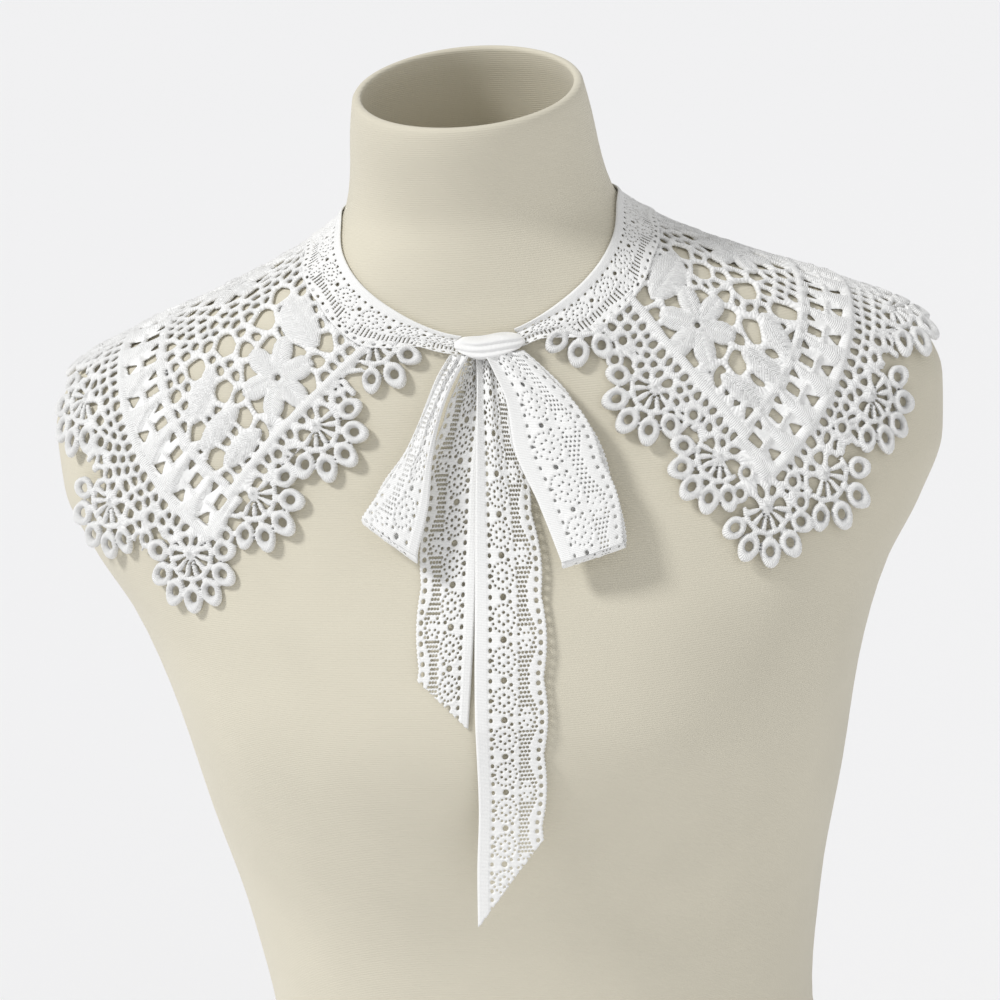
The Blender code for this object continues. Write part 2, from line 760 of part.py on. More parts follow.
def ring_of(z, shrink=0.0, lean=None):
    """Points of a horizontal section, spaced closer at its rounder ends."""
    points = []
    for k in range(FORM_SIDES):
        t = 2 * pi * k / FORM_SIDES
        level = z
        if lean is not None:
            for _ in range(3):
                half, front, back, centre, power = [float(v) for v in section(level)]
                level = lean(centre - cos(t) * front)
        half, front, back, centre, power = [float(v) for v in section(level)]
        bend = 2 / power
        across = sin(t)
        along = -cos(t)
        depth = front if along < 0 else back
        x = (half - shrink) * np.sign(across) * abs(across) ** bend
        y = (depth - shrink) * np.sign(along) * abs(along) ** bend
        points.append((float(x), float(centre + y), level))
    return points


def bridge_rings(rings, cap_first, cap_last):
    """Vertices and faces of a run of equal rings."""
    vertices = [p for ring in rings for p in ring]
    faces = []
    for r in range(len(rings) - 1):
        for k in range(FORM_SIDES):
            a = r * FORM_SIDES + k
            b = r * FORM_SIDES + (k + 1) % FORM_SIDES
            faces.append((a, b, b + FORM_SIDES, a + FORM_SIDES))
    if cap_first:
        faces.append(tuple(reversed(range(FORM_SIDES))))
    if cap_last:
        last = (len(rings) - 1) * FORM_SIDES
        faces.append(tuple(range(last, last + FORM_SIDES)))
    return vertices, faces


def turn_outward(piece):
    """Faces of a closed solid turned to point outwards."""
    work = bmesh.new()
    work.from_mesh(piece.data)
    bmesh.ops.recalc_face_normals(work, faces=work.faces)
    work.to_mesh(piece.data)
    work.free()


def make_torso(material, collection):
    """Torso of the form, from its flat base to the neck, with the neck's hollow in its top."""
    heights = list(np.arange(0, SHOULDER_START, RING_STEP_LOW))
    rings_above = int(round((TORSO_TOP - SHOULDER_START) / RING_STEP_HIGH))
    heights += list(np.linspace(SHOULDER_START, TORSO_TOP, rings_above + 1))
    rings = [ring_of(z) for z in heights]
    inner = ring_of(TORSO_TOP, NECK_WALL)
    rings.append(inner)
    middle_y = sum(p[1] for p in inner) / len(inner)
    floor = []
    for x, y, _ in inner:
        floor.append((x * HOLLOW_TAPER, middle_y + (y - middle_y) * HOLLOW_TAPER, HOLLOW_FLOOR))
    rings.append(floor)
    vertices, faces = bridge_rings(rings, True, True)
    piece = make_object("form_torso", vertices, faces, material, collection)
    turn_outward(piece)
    return piece


def rim_level(y):
    return RIM_HEIGHT + RIM_SLOPE * (y - RIM_CENTRE_Y)


def make_neck(material, collection):
    """Open neck tube with a sloping rounded rim."""
    base = TORSO_TOP + NECK_SEAM_GAP
    levels = (0.0, 0.3, 0.6, 0.85)
    outer = []
    inner = []
    for share in levels:
        outer.append(ring_of(RIM_HEIGHT, 0, lambda y, s=share: base + (rim_level(y) - RIM_ROUND - base) * s))
        inner.append(ring_of(RIM_HEIGHT, NECK_WALL, lambda y, s=share: base + (rim_level(y) - RIM_ROUND - base) * s))
    rim_outer = ring_of(RIM_HEIGHT, 0, lambda y: rim_level(y) - RIM_ROUND)
    rim_top_out = ring_of(RIM_HEIGHT, NECK_WALL * 0.3, rim_level)
    rim_top_in = ring_of(RIM_HEIGHT, NECK_WALL * 0.7, rim_level)
    rim_inner = ring_of(RIM_HEIGHT, NECK_WALL, lambda y: rim_level(y) - RIM_ROUND)
    rings = outer + [rim_outer, rim_top_out, rim_top_in, rim_inner] + inner[::-1]
    vertices, faces = bridge_rings(rings, False, False)
    last = (len(rings) - 1) * FORM_SIDES
    for k in range(FORM_SIDES):
        j = (k + 1) % FORM_SIDES
        faces.append((last + k, last + j, j, k))
    piece = make_object("form_neck", vertices, faces, material, collection)
    turn_outward(piece)
    return piece


def thicken(piece, thickness, weights=None):
    """Wall of a sheet, with its plain side on the form's side."""
    wall = piece.modifiers.new("wall", "SOLIDIFY")
    wall.thickness = thickness
    wall.offset = 1.0
    wall.use_even_offset = False
    wall.use_rim = True
    if weights is not None:
        group = piece.vertex_groups.new(name="raise")
        for i, weight in enumerate(weights):
            group.add([i], weight, "REPLACE")
        wall.vertex_group = "raise"
        wall.thickness_vertex_group = 0.0


def make_collar_half(name, side, pattern, material, collection):
    """One half of the guipure collar: thickened flat, then laid on the form."""
    flat, triangles, weights = pattern
    faces = []
    for a, b, c in triangles:
        area = (flat[b][0] - flat[a][0]) * (flat[c][1] - flat[a][1])
        area -= (flat[c][0] - flat[a][0]) * (flat[b][1] - flat[a][1])
        faces.append((a, b, c) if area > 0 else (a, c, b))
    sheet = make_object(name + "_flat", [(x, y, 0) for x, y in flat], faces, material, collection)
    thicken(sheet, LACE_THICKNESS, weights)
    evaluated = sheet.evaluated_get(bpy.context.evaluated_depsgraph_get())
    mesh = bpy.data.meshes.new_from_object(evaluated)
    bpy.data.objects.remove(sheet)
    flat_wall = np.array([tuple(vertex.co) for vertex in mesh.vertices])
    for vertex, place in zip(mesh.vertices, drape_all(flat_wall[:, :2], LACE_LIFT + flat_wall[:, 2], side)):
        vertex.co = place
    mesh.name = name
    piece = bpy.data.objects.new(name, mesh)
    collection.objects.link(piece)
    turn_outward(piece)
    mesh.shade_smooth()
    mesh.set_sharp_from_angle(angle=radians(40.0))
    return piece


def grid_faces(rows, columns):
    faces = []
    for i in range(rows - 1):
        for j in range(columns - 1):
            a = i * columns + j
            faces.append((a, a + columns, a + columns + 1, a + 1))
    return faces


def face_outward(piece, towards):
    """Faces of a sheet turned so that they look the given way on the whole."""
    mesh = piece.data
    total = Vector((0, 0, 0))
    for polygon in mesh.polygons:
        total += polygon.normal * polygon.area
    if total.dot(towards) < 0:
        mesh.flip_normals()


def turn_reaching(wanted_x, share):
    """Flat angle at which the band reaches a sideways place."""
    low = 90.0
    high = 140.0
    for _ in range(30):
        middle = (low + high) / 2
        if band_place(middle, share, 1)[0] > wanted_x:
            low = middle
        else:
            high = middle
    return (low + high) / 2


def band_place(turn, share, side):
    """Place on the neckband at a flat angle and a share of its width."""
    flat = polar(FLAT_NECK_RADIUS + band_width(turn) * share, turn)
    return drape_all([flat], [BAND_LIFT], side)[0]


def make_band(material, collection):
    """Neckband: the ribbon folded over the collar's neck edge, open in front."""
    columns = 4
    turns = list(np.arange(BAND_ANGLE_STEP, BAND_LAST_TURN + 1, BAND_ANGLE_STEP))
    stations = [(-1, None)] + [(-1, t) for t in reversed(turns)] + [(1, 0.0)]
    stations += [(1, t) for t in turns] + [(1, None)]
    vertices = []
    for side, turn in stations:
        for j in range(columns):
            share = j / (columns - 1)
            at = turn
            if at is None:
                at = turn_reaching(-BAND_END_LEFT_X if side < 0 else BAND_END_RIGHT_X, share)
            vertices.append(band_place(at, share, side))
    piece = make_object("neckband", vertices, grid_faces(len(stations), columns), material, collection)
    radial = sum(
        (polygon.normal.x * polygon.center.x + polygon.normal.y * polygon.center.y)
        for polygon in piece.data.polygons
    )
    if radial < 0:
        piece.data.flip_normals()
    thicken(piece, BAND_WALL)
    return piece


def chest_y(x, z):
    """Front of the form at a place, hanging straight below the bust."""
    level = max(z, HANG_FROM)
    half, front, _, centre, power = [float(v) for v in section(level)]
    share = min(abs(x) / half, 0.98)
    return centre - front * (1 - share ** power) ** (1 / power)


def ribbon_rows(table, count):
    """Evenly spaced levels of a ribbon table, read smoothly."""
    columns = table_columns(RIBBON_COLUMNS, table)
    falling = -columns["height"]
    levels = np.linspace(-falling[0], -falling[-1], count)
    return levels, [smooth_column(falling, columns[name], -levels) for name in RIBBON_COLUMNS[1:]]


def make_tail(name, table, end_mm, material, collection):
    """A hanging ribbon end, cut on a slant."""
    levels, (left, right, lift) = ribbon_rows(table, RIBBON_STATIONS)
    drop = (levels[-1] - end_mm[0] * MM, levels[-1] - end_mm[1] * MM)
    vertices = []
    for i, level in enumerate(levels):
        slant = (i / (len(levels) - 1)) ** TAIL_SLANT_POWER
        for j in range(RIBBON_ACROSS):
            share = j / (RIBBON_ACROSS - 1)
            x = left[i] + (right[i] - left[i]) * share
            z = level - slant * (drop[0] + (drop[1] - drop[0]) * share)
            vertices.append((x, chest_y(x, z) - lift[i], z))
    piece = make_object(name, vertices, grid_faces(len(levels), RIBBON_ACROSS), material, collection)
    face_outward(piece, Vector((0, -1, 0)))
    thicken(piece, RIBBON_WALL)
    return piece


def make_loop(name, table, fold_mm, material, collection):
    """A bow loop: down behind, round its lower fold and up in front."""
    levels, (left, right, lift) = ribbon_rows(table, RIBBON_STATIONS)
    drop = (levels[-1] - fold_mm[0] * MM, levels[-1] - fold_mm[1] * MM)
    layers = []
    for i, level in enumerate(levels):
        slant = (i / (len(levels) - 1)) ** LOOP_SLANT_POWER
        along = i / (len(levels) - 1)
        opening = LOOP_OPENING * (LOOP_TOP_SHARE + (1 - LOOP_TOP_SHARE) * along)
        row_back = []
        row_front = []
        for j in range(RIBBON_ACROSS):
            share = j / (RIBBON_ACROSS - 1)
            x = left[i] + (right[i] - left[i]) * share
            z = level - slant * (drop[0] + (drop[1] - drop[0]) * share)
            y = chest_y(x, z) - lift[i]
            row_back.append((x, y, z))
            row_front.append((x, y - opening, z))
        layers.append((row_back, row_front))
    rows = [layer[0] for layer in layers]
    radius = LOOP_OPENING / 2
    for turn in LOOP_TURNS:
        middle = []
        for back, front in zip(*layers[-1]):
            y = (back[1] + front[1]) / 2 + radius * cos(radians(turn))
            middle.append((back[0], y, back[2] - radius * sin(radians(turn))))
        rows.append(middle)
    rows += [layer[1] for layer in reversed(layers)]
    vertices = [p for row in rows for p in row]
    piece = make_object(name, vertices, grid_faces(len(rows), RIBBON_ACROSS), material, collection)
    front_strip = list(piece.data.polygons)[-RIBBON_ACROSS:]
    if sum(polygon.normal.y for polygon in front_strip) > 0:
        piece.data.flip_normals()
    thicken(piece, RIBBON_WALL)
    return piece


def make_knot(material, collection):
    """Knot of the bow: a short wrap of ribbon with soft edges, shaped to the neck behind."""
    bpy.ops.mesh.primitive_cube_add(size=1.0, location=(0, 0, 0))
    piece = bpy.context.active_object
    piece.name = "knot"
    for owner in list(piece.users_collection):
        owner.objects.unlink(piece)
    collection.objects.link(piece)
    work = bmesh.new()
    work.from_mesh(piece.data)
    bmesh.ops.subdivide_edges(work, edges=work.edges, cuts=KNOT_CUTS, use_grid_fill=True)
    for vertex in work.verts:
        across, depth, up = vertex.co * 2
        x = KNOT_CENTRE_X + KNOT_HALF_WIDTH * across
        z = KNOT_CENTRE_Z + KNOT_HALF_HEIGHT * up
        rounded = 1 - KNOT_SIDE_ROUND * across ** 4 - KNOT_EDGE_ROUND * up ** 4
        share = (1 - depth) / 2
        lift = KNOT_INNER_LIFT + (KNOT_DEPTH - KNOT_INNER_LIFT) * share * rounded
        vertex.co = Vector((x, chest_y(x, z) - lift, z))
    bmesh.ops.recalc_face_normals(work, faces=work.faces)
    work.to_mesh(piece.data)
    work.free()
    piece.data.materials.clear()
    piece.data.materials.append(material)
    piece.data.shade_smooth()
    return piece


MATERIAL_COLUMNS = ("piece", "cloth", "colour", "roughness")
COTTON = (0.76, 0.72, 0.62)
GUIPURE = (0.91, 0.92, 0.91)
RIBBON = (0.92, 0.92, 0.91)
MATERIAL_ROWS = (
    ("form_torso", "cotton", COTTON, 0.85),
    ("form_neck", "cotton", COTTON, 0.85),
    ("collar_left", "guipure", GUIPURE, 0.7),
    ("collar_right", "guipure", GUIPURE, 0.7),
    ("neckband", "ribbon", RIBBON, 0.65),
    ("knot", "ribbon", RIBBON, 0.65),
    ("loop_left", "ribbon", RIBBON, 0.65),
    ("loop_right", "ribbon", RIBBON, 0.65),
    ("tail_left", "ribbon", RIBBON, 0.65),
    ("tail_right", "ribbon", RIBBON, 0.65),
)


def make_materials():
    """One material for each piece, by the piece's name."""
    materials = {}
    for row in MATERIAL_ROWS:
        values = dict(zip(MATERIAL_COLUMNS, row))
        name = values["piece"] + "_" + values["cloth"]
        materials[values["piece"]] = make_material(name, values["colour"], values["roughness"])
    return materials


def main():
    for leftover in list(bpy.data.objects):
        bpy.data.objects.remove(leftover)
    collection = new_collection("lace_collar_on_dress_form")
    cloth = make_materials()
    make_torso(cloth["form_torso"], collection)
    make_neck(cloth["form_neck"], collection)
    for name, side in (("collar_left", -1), ("collar_right", 1)):
        lines = cord_lines(side)
        pattern = flat_mesh(collar_outline(side), collar_gaps(side), lines, raised_points(side))
        make_collar_half(name, side, pattern, cloth[name], collection)
    make_band(cloth["neckband"], collection)
    make_knot(cloth["knot"], collection)
    make_tail("tail_left", TAIL_LEFT_MM, TAIL_LEFT_END_MM, cloth["tail_left"], collection)
    make_tail("tail_right", TAIL_RIGHT_MM, TAIL_RIGHT_END_MM, cloth["tail_right"], collection)
    make_loop("loop_left", LOOP_LEFT_MM, LOOP_LEFT_FOLD_MM, cloth["loop_left"], collection)
    make_loop("loop_right", LOOP_RIGHT_MM, LOOP_RIGHT_FOLD_MM, cloth["loop_right"], collection)


main()
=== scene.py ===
"""Guipure lace collar with a raschel-lace neckband and bow, on a cotton-covered dress form.

The collar is charted flat: rings, leaves, cords, bars and net are strands with their own width
and height, and the chart is laid on the form. The ribbon lace is charted by its repeat.
Metres in the frame, millimetres in the charts.
"""
from math import atan2, cos, degrees, hypot, pi, radians, sin

import bpy
import numpy as np
from mathutils import Matrix, Vector


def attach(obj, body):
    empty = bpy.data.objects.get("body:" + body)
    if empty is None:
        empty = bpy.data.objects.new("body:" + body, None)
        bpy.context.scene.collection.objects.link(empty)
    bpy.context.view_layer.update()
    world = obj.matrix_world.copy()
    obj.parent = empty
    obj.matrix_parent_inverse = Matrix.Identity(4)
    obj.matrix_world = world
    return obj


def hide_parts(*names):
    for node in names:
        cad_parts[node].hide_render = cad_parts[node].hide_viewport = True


bl_info = {
    "name": "Lace collar on a dress form",
    "version": (1, 0, 0),
    "blender": (4, 5, 0),
    "location": "View3D > Sidebar > Collar",
    "description": "Builds the guipure collar, its ribbon bow and the dress form",
    "category": "Add Mesh",
}

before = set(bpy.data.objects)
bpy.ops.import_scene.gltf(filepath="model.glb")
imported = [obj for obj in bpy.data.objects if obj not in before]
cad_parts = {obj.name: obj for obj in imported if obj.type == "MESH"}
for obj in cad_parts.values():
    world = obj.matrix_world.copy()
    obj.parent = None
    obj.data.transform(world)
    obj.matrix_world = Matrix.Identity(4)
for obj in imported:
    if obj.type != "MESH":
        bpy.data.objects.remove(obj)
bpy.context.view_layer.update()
MM = 0.001

# Dress form: height, half width, front, back, centre y, power of each level section, mm
FORM_ROWS = (
    (0, 162, 100, 110, 0, 2.30),
    (40, 166, 102, 114, 0, 2.30),
    (90, 160, 98, 108, 0, 2.30),
    (150, 138, 88, 88, 0, 2.25),
    (210, 122, 83, 72, 0, 2.20),
    (270, 129, 90, 78, 0, 2.20),
    (330, 142, 108, 88, 0, 2.20),
    (380, 152, 122, 94, 0, 2.20),
    (420, 165, 113, 97, 0, 2.25),
    (450, 182, 99, 97, 0, 2.25),
    (475, 192, 89, 94, 0, 2.20),
    (500, 193, 79, 90, 0, 2.10),
    (515, 188, 73, 85, 0, 2.05),
    (525, 179, 69, 81, 0, 2.00),
    (535, 162, 65, 78, 0, 2.00),
    (545, 137, 62, 73, 0, 2.00),
    (555, 112, 60, 69, 0, 2.00),
    (565, 89, 58, 64, -1, 2.00),
    (575, 72, 56, 58, -2, 2.00),
    (588, 58, 54, 53, -3, 2.00),
    (605, 53.5, 52.5, 51.5, -8, 2.00),
    (625, 51, 51.5, 51.5, -15, 2.00),
    (660, 44, 47, 47, -23, 2.00),
)
FORM_SIDES = 160
# Rounding of the neck's rim, outside to inside: how far in and how far under it, m
RIM_ROUND = ((0, 0.0016), (0.0005, 0.0005), (0.0015, 0.0), (0.0026, 0.0), (0.0036, 0.0006),
             (0.004, 0.0018))
HOLLOW_FLOOR = 0.5035

# Flat chart of each half of the collar, -1 left and +1 right, mm and degrees from the back
NECK_RADIUS = 90.5
BAND_WIDE = 21.0
BAND_NARROW = 9.0
# Outer cord, by turn and radius, and front cord, by x and y
OUTER_CORD = {
    -1: ((0, 195), (35, 195), (55, 198), (66, 202), (73, 208), (79, 213), (86, 215), (90.3, 214)),
    1: ((0, 195), (35, 195), (55, 196), (65, 198), (77, 203), (83, 204), (88.9, 204)),
}
FRONT_CORD = {
    -1: ((106, -13.8), (123, -11), (132, -9.5), (147, -7), (164, -4), (180, -2), (197, -0.5)),
    1: ((106, 7.0), (123, 6.3), (133, 5), (150, 4.3), (168, 4), (186, 4)),
}
# Scallops: hub x, hub y, axis, spread, number of picots
SCALLOPS = {
    -1: (
        (105, -14, -72, 70, 3),
        (148.5, -16, -86, 132, 5),
        (188, -9.5, -86, 132, 5),
        (225.5, 3, -34, 190, 7),
        (231, 50, 12, 132, 5),
    ),
    1: (
        (99, -11, -52, 70, 3),
        (143.5, -11.5, -86, 132, 5),
        (183, -9.5, -88, 118, 5),
        (212, -7, -36, 132, 5),
        (219.5, 22, 6, 106, 4),
        (211, 60, 16, 128, 5),
    ),
}
# Scallops round the back: first and last turn, and the steps between them
BACK_SCALLOPS = {-1: (67.3, 5.3, 6), 1: (62.7, 5.6, 5)}
PAST_BACK = -1.2
CHANNEL_WIDTH = 22.0
HUB_FROM_CORD = 14.5
# Reach of a scallop's picots, stems and arc from its hub, and half sizes of a picot; those
# at its ends are smaller and nearer by these shares
PICOT_REACH = 17.4
PICOT_OUTER, PICOT_INNER = (5.5, 4.8), (2.05, 1.75)
PICOT_POINT, PICOT_HEIGHT = 1.2, 2.2
PICOT_END = (0.92, 0.95)
STEM = (10, 12.6)
ARC_RADIUS = 10.2
SPOKE_REACH = 6.6
# Leaves and petals: half length, half width, height, fuller, hatch, vein
SPOKE = (4.2, 1.15, 1.8, 0.35)
FLOWER_PETAL = (7.9, 4.9, 2.3, 0.22, 0.4, 0.35)
BACK_LEAF = (9.5, 4.3, 1.8, 0.1, 0.3)
# Strands: half width at the start and the end, and height
FRONT_THREAD = (2.0, 2.2, 2.1)
OUTER_THREAD = (2.1, 1.9, 2.1)
INNER_THREAD = (1.6, 1.5, 1.8)
ARC_THREAD = (1.05, 1.05, 1.7)
STEM_THREAD = (1.3, 1.6, 1.3)
BAR_THREAD = (1.5, 1.3, 1.3)
TIE_THREAD = (1.05, 1.05, 1.2)
HATCH_PITCH = 2.1
VEIN_WIDTH = 0.55
# Channel: first fan and pitch, degrees; lean at the foot and the head and width of each blade
FIRST_FAN, FAN_PITCH, FAN_AHEAD = 2.6, 4.05, 2.03
FAN_BLADES = ((0.9, -0.95, 1.3), (0.7, -0.3, 1.45), (0.4, 0.35, 1.45), (0.2, 0.98, 1.3))
# Net: half width of its bars in the border and the field, their height, spacing of the
# openings; in the border it ends this far from the cords and from the hubs
NET_THREADS = (1.2, 1.25)
NET_HEIGHT = 1.45
NET_PITCH, NET_ROW = 5.9, 5.3
LADDER_PITCH, LADDER_ROW = 4.6, 4.7
BORDER_LIMIT, HUB_LIMIT = 28.0, 38
# Field: shift of the front motifs on each half, front flower, turns of the back flowers
SHIFT = {-1: (0, 0), 1: (-5, 10)}
FLOWER = (144, 10)
BACK_FLOWERS = (60, 35, 11.5)
# Leaves beside the front flower: x, y, axis, then as above
FRONT_LEAVES = (
    (176, 5.5, 14, 11.5, 4.9, 2.2, 0.05, 0.5),
    (176, 19, 8, 12.5, 5.2, 2.2, 0.05, 0.5),
    (171.5, 33, -14, 11.5, 4.8, 2.2, 0.05, 0.5),
    (121, 17, 96, 13.5, 8.4, 2.1, 0.1, 0.35, 0.35),
)
# Larger openings of the field: x, y, radius
FRONT_GAPS = (
    (166, 12.5, 2.6), (186, 12.5, 2.4), (163, 26, 2.8), (183, 26, 2.4), (164, 1.5, 2.6),
    (120, 2.5, 2.8), (131, 33, 3.0), (119, 36, 2.6), (150, 40, 3.0), (166, 44, 2.6),
)
# Grid of the chart: its corner, size and step, and half the gap left at the back seam
CHART_X, CHART_Y = -0.4, -46.0
CHART_SIZE = (262, 286)
STEP = 0.92
HALF_GAP = 0.12
SHAPE_SPARE = 1.6
# Neckband: x of its ends, m, its rows across, its grid step and how open its lace is
BAND_ENDS = (-0.0084, 0.0164)
BAND_ROWS = 7
BAND_STEP, BAND_DENSE = 0.54, 0.8


def column(xs, ys, at):
    """Monotone cubic through a column of a table."""
    xs = np.asarray(xs, float)
    ys = np.asarray(ys, float)
    gap = np.diff(xs)
    slope = np.diff(ys) / gap
    tangent = np.zeros(len(xs))
    tangent[0] = slope[0]
    tangent[-1] = slope[-1]
    for i in range(1, len(xs) - 1):
        if slope[i - 1] * slope[i] > 0:
            w1 = 2 * gap[i] + gap[i - 1]
            w2 = gap[i] + 2 * gap[i - 1]
            tangent[i] = (w1 + w2) / (w1 / slope[i - 1] + w2 / slope[i])
    at = np.asarray(at, float)
    k = np.clip(np.searchsorted(xs, at) - 1, 0, len(xs) - 2)
    t = (at - xs[k]) / gap[k]
    start = (2 * t ** 3 - 3 * t ** 2 + 1) * ys[k] + (t ** 3 - 2 * t ** 2 + t) * gap[k] * tangent[k]
    end = (3 * t ** 2 - 2 * t ** 3) * ys[k + 1] + (t ** 3 - t ** 2) * gap[k] * tangent[k + 1]
    return start + end


# Draping: steps of 1 mm down the form, those before the lines run straight, settling rounds
LINE_STEPS, STRAIGHT_FROM, SETTLING_ROUNDS = 172, 60, 400
FORM = np.array(FORM_ROWS, float).T * np.array([MM] * 5 + [1])[:, None]


def section(z):
    """Half width, front, back, centre y and power of the form at a height."""
    return [column(FORM[0], values, z) for values in FORM[1:]]


def form_point(angle, z):
    """Point on the form at an angle round it in degrees, 0 in front and 90 at +X."""
    half, front, back, centre, power = section(z)
    across = np.sin(np.radians(angle))
    along = -np.cos(np.radians(angle))
    depth = np.where(along < 0, front, back)
    reach = (np.abs(across / half) ** power + np.abs(along / depth) ** power) ** (-1 / power)
    return np.stack([reach * across, centre + reach * along, np.asarray(z) + 0 * reach], -1)


def unit(v):
    return v / np.linalg.norm(v, axis=-1, keepdims=True)


def form_frame(angle, z):
    around = (form_point(angle + 0.05, z) - form_point(angle - 0.05, z)) / 0.1
    upward = (form_point(angle, z + 0.0002) - form_point(angle, z - 0.0002)) / 0.0004
    return around, upward, unit(np.cross(around, upward))


def neck_height(angle):
    """Height of the neck curve round the form, lower in front."""
    side = np.cos(np.radians(angle))
    return (588 - np.where(np.abs(angle) < 90, 45, 5) * side * side) * MM


def surface_step(angle, z, direction, length):
    """Change of angle and height for a step over the form."""
    around, upward, _ = form_frame(angle, z)
    aa = (around * around).sum(-1)
    au = (around * upward).sum(-1)
    uu = (upward * upward).sum(-1)
    da = (around * direction).sum(-1)
    du = (upward * direction).sum(-1)
    det = aa * uu - au * au
    return (da * uu - du * au) / det * length, (aa * du - au * da) / det * length


def draping_lines():
    """Lines over the form from the neck curve, square to it, then straight in plan."""
    start = np.arange(0, 180.01, 3.0)
    angle = start.copy()
    z = neck_height(start)
    before = form_point(start - 0.5, neck_height(start - 0.5))
    after = form_point(start + 0.5, neck_height(start + 0.5))
    _, _, normal = form_frame(angle, z)
    direction = unit(np.cross(after - before, normal))
    direction *= -np.sign(direction[:, 2:3])
    places = [form_point(angle, z)]
    plane = None
    for k in range(LINE_STEPS):
        _, _, normal = form_frame(angle, z)
        if k >= STRAIGHT_FROM:
            if plane is None:
                heading = np.degrees(np.arctan2(direction[:, 0], -direction[:, 1]))
                heading = np.radians(np.maximum.accumulate(heading))
                plane = np.stack([-np.cos(heading), -np.sin(heading), 0 * heading], -1)
            ahead = unit(np.cross(normal, plane))
            direction = ahead * np.sign((ahead * direction).sum(-1, keepdims=True))
        else:
            direction = unit(direction - (direction * normal).sum(-1, keepdims=True) * normal)
        turn, rise = surface_step(angle, z, direction, MM / 2)
        turn, rise = surface_step(angle + turn, z + rise, direction, MM)
        angle = angle + turn
        z = z + rise
        places.append(form_point(angle, z))
    return start, np.stack(places, 1)


def form_angle(places):
    """Angle round the form of places near it, degrees."""
    return np.degrees(np.arctan2(places[..., 0], section(places[..., 2])[3] - places[..., 1]))


def nearest_on_form(places):
    """Places moved square onto the form, and its normals there."""
    for _ in range(2):
        z = places[..., 2]
        angle = form_angle(places)
        _, _, normal = form_frame(angle, z)
        off = ((places - form_point(angle, z)) * normal).sum(-1, keepdims=True)
        places = places - off * normal
    return places, normal


LEVELS = np.arange(0, 171, 10) * MM
TURNS = np.radians(np.arange(0, 127.6, 3.0))


def settled_grid():
    """Grid of the flat half collar, settled on the form so that it keeps its flat lengths."""
    starts, lines = draping_lines()
    lengths = np.zeros(lines.shape[:2])
    lengths[:-1] = np.cumsum(np.linalg.norm(np.diff(lines, axis=0), axis=2)[::-1], axis=0)[::-1]
    radii = NECK_RADIUS * MM + LEVELS
    flat = np.stack([radii[:, None] * np.sin(TURNS), radii[:, None] * np.cos(TURNS)], -1)
    places = np.zeros((*flat.shape[:2], 3))
    for i, level in enumerate(LEVELS):
        j = int(round(level / MM))
        angle = np.interp(-lengths[0, j] * TURNS / TURNS[-1], -lengths[:, j], starts)
        for c in range(3):
            places[i, :, c] = np.interp(angle, starts, lines[:, j, c])
    whole = slice(None)
    links = (
        (slice(0, -1), whole, slice(1, None), whole),
        (whole, slice(0, -1), whole, slice(1, None)),
        (slice(0, -1), slice(0, -1), slice(1, None), slice(1, None)),
        (slice(0, -1), slice(1, None), slice(1, None), slice(0, -1)),
        (slice(0, -2), whole, slice(2, None), whole),
        (whole, slice(0, -2), whole, slice(2, None)),
    )
    rest = [np.linalg.norm(flat[a, b] - flat[c, d], axis=-1) for a, b, c, d in links]
    for _ in range(SETTLING_ROUNDS):
        push = np.zeros_like(places)
        count = np.zeros((*flat.shape[:2], 1))
        for (a, b, c, d), wanted in zip(links, rest):
            span = places[c, d] - places[a, b]
            length = np.linalg.norm(span, axis=-1)
            part_way = (0.5 * (length - wanted) / length)[..., None] * span
            push[a, b] += part_way
            push[c, d] -= part_way
            count[a, b] += 1
            count[c, d] += 1
        places = places + push / count
        places[:, 0, 0] = 0
        angle = form_angle(places[0])
        places[0] = form_point(angle, neck_height(angle))
        places[1:], _ = nearest_on_form(places[1:])
    return places


def blend_grid(grid, x, y, first, step, first_turn, turn_step):
    """Smoothly blended values of a polar grid at flat places, metres."""
    row = (np.hypot(x, y) - first) / step
    place = (np.arctan2(x, y) - first_turn) / turn_step
    i = np.clip(np.floor(row).astype(int), 0, grid.shape[0] - 2)
    j = np.clip(np.floor(place).astype(int), 0, grid.shape[1] - 2)
    u = (row - i)[:, None]
    v = (place - j)[:, None]
    near = grid[i, j] * (1 - v) + grid[i, j + 1] * v
    far = grid[i + 1, j] * (1 - v) + grid[i + 1, j + 1] * v
    return near * (1 - u) + far * u


class Drape:
    """Lays flat places of half the collar on the form."""

    def __init__(self):
        coarse = settled_grid()
        radii = (NECK_RADIUS + np.arange(-4, 171, 2.0)) * MM
        turns = np.radians(np.arange(-1.5, 127.6, 1.0))
        x = (radii[:, None] * np.sin(turns)).ravel()
        y = (radii[:, None] * np.cos(turns)).ravel()
        places = blend_grid(coarse, x, y, NECK_RADIUS * MM, LEVELS[1], 0, TURNS[1])
        places, normals = nearest_on_form(places)
        self.first = radii[0]
        self.first_turn = turns[0]
        self.grid = np.concatenate([places, normals], 1).reshape(len(radii), len(turns), 6)

    def __call__(self, x, y, lift, side):
        """Places for flat x, y and lift, all in mm, on one side."""
        both = blend_grid(
            self.grid, x * MM, y * MM, self.first, 2 * MM, self.first_turn, radians(1.0)
        )
        places = both[:, :3] + unit(both[:, 3:]) * (np.asarray(lift) * MM)[:, None]
        places[:, 0] *= side
        return places


# Chart shapes. Each gives, for flat places in mm: reach inside its edge, height, and the two
# thread coordinates, along the strand and across it.


# Eyes of the rings drawn so far: centre, axis, half sizes. They stay open under other strands
EYELETS = []


def local(x, y, centre, axis):
    """Flat places seen from a centre: along an axis, and across it."""
    c, s = cos(radians(axis)), sin(radians(axis))
    dx, dy = x - centre[0], y - centre[1]
    return dx * c + dy * s, dy * c - dx * s


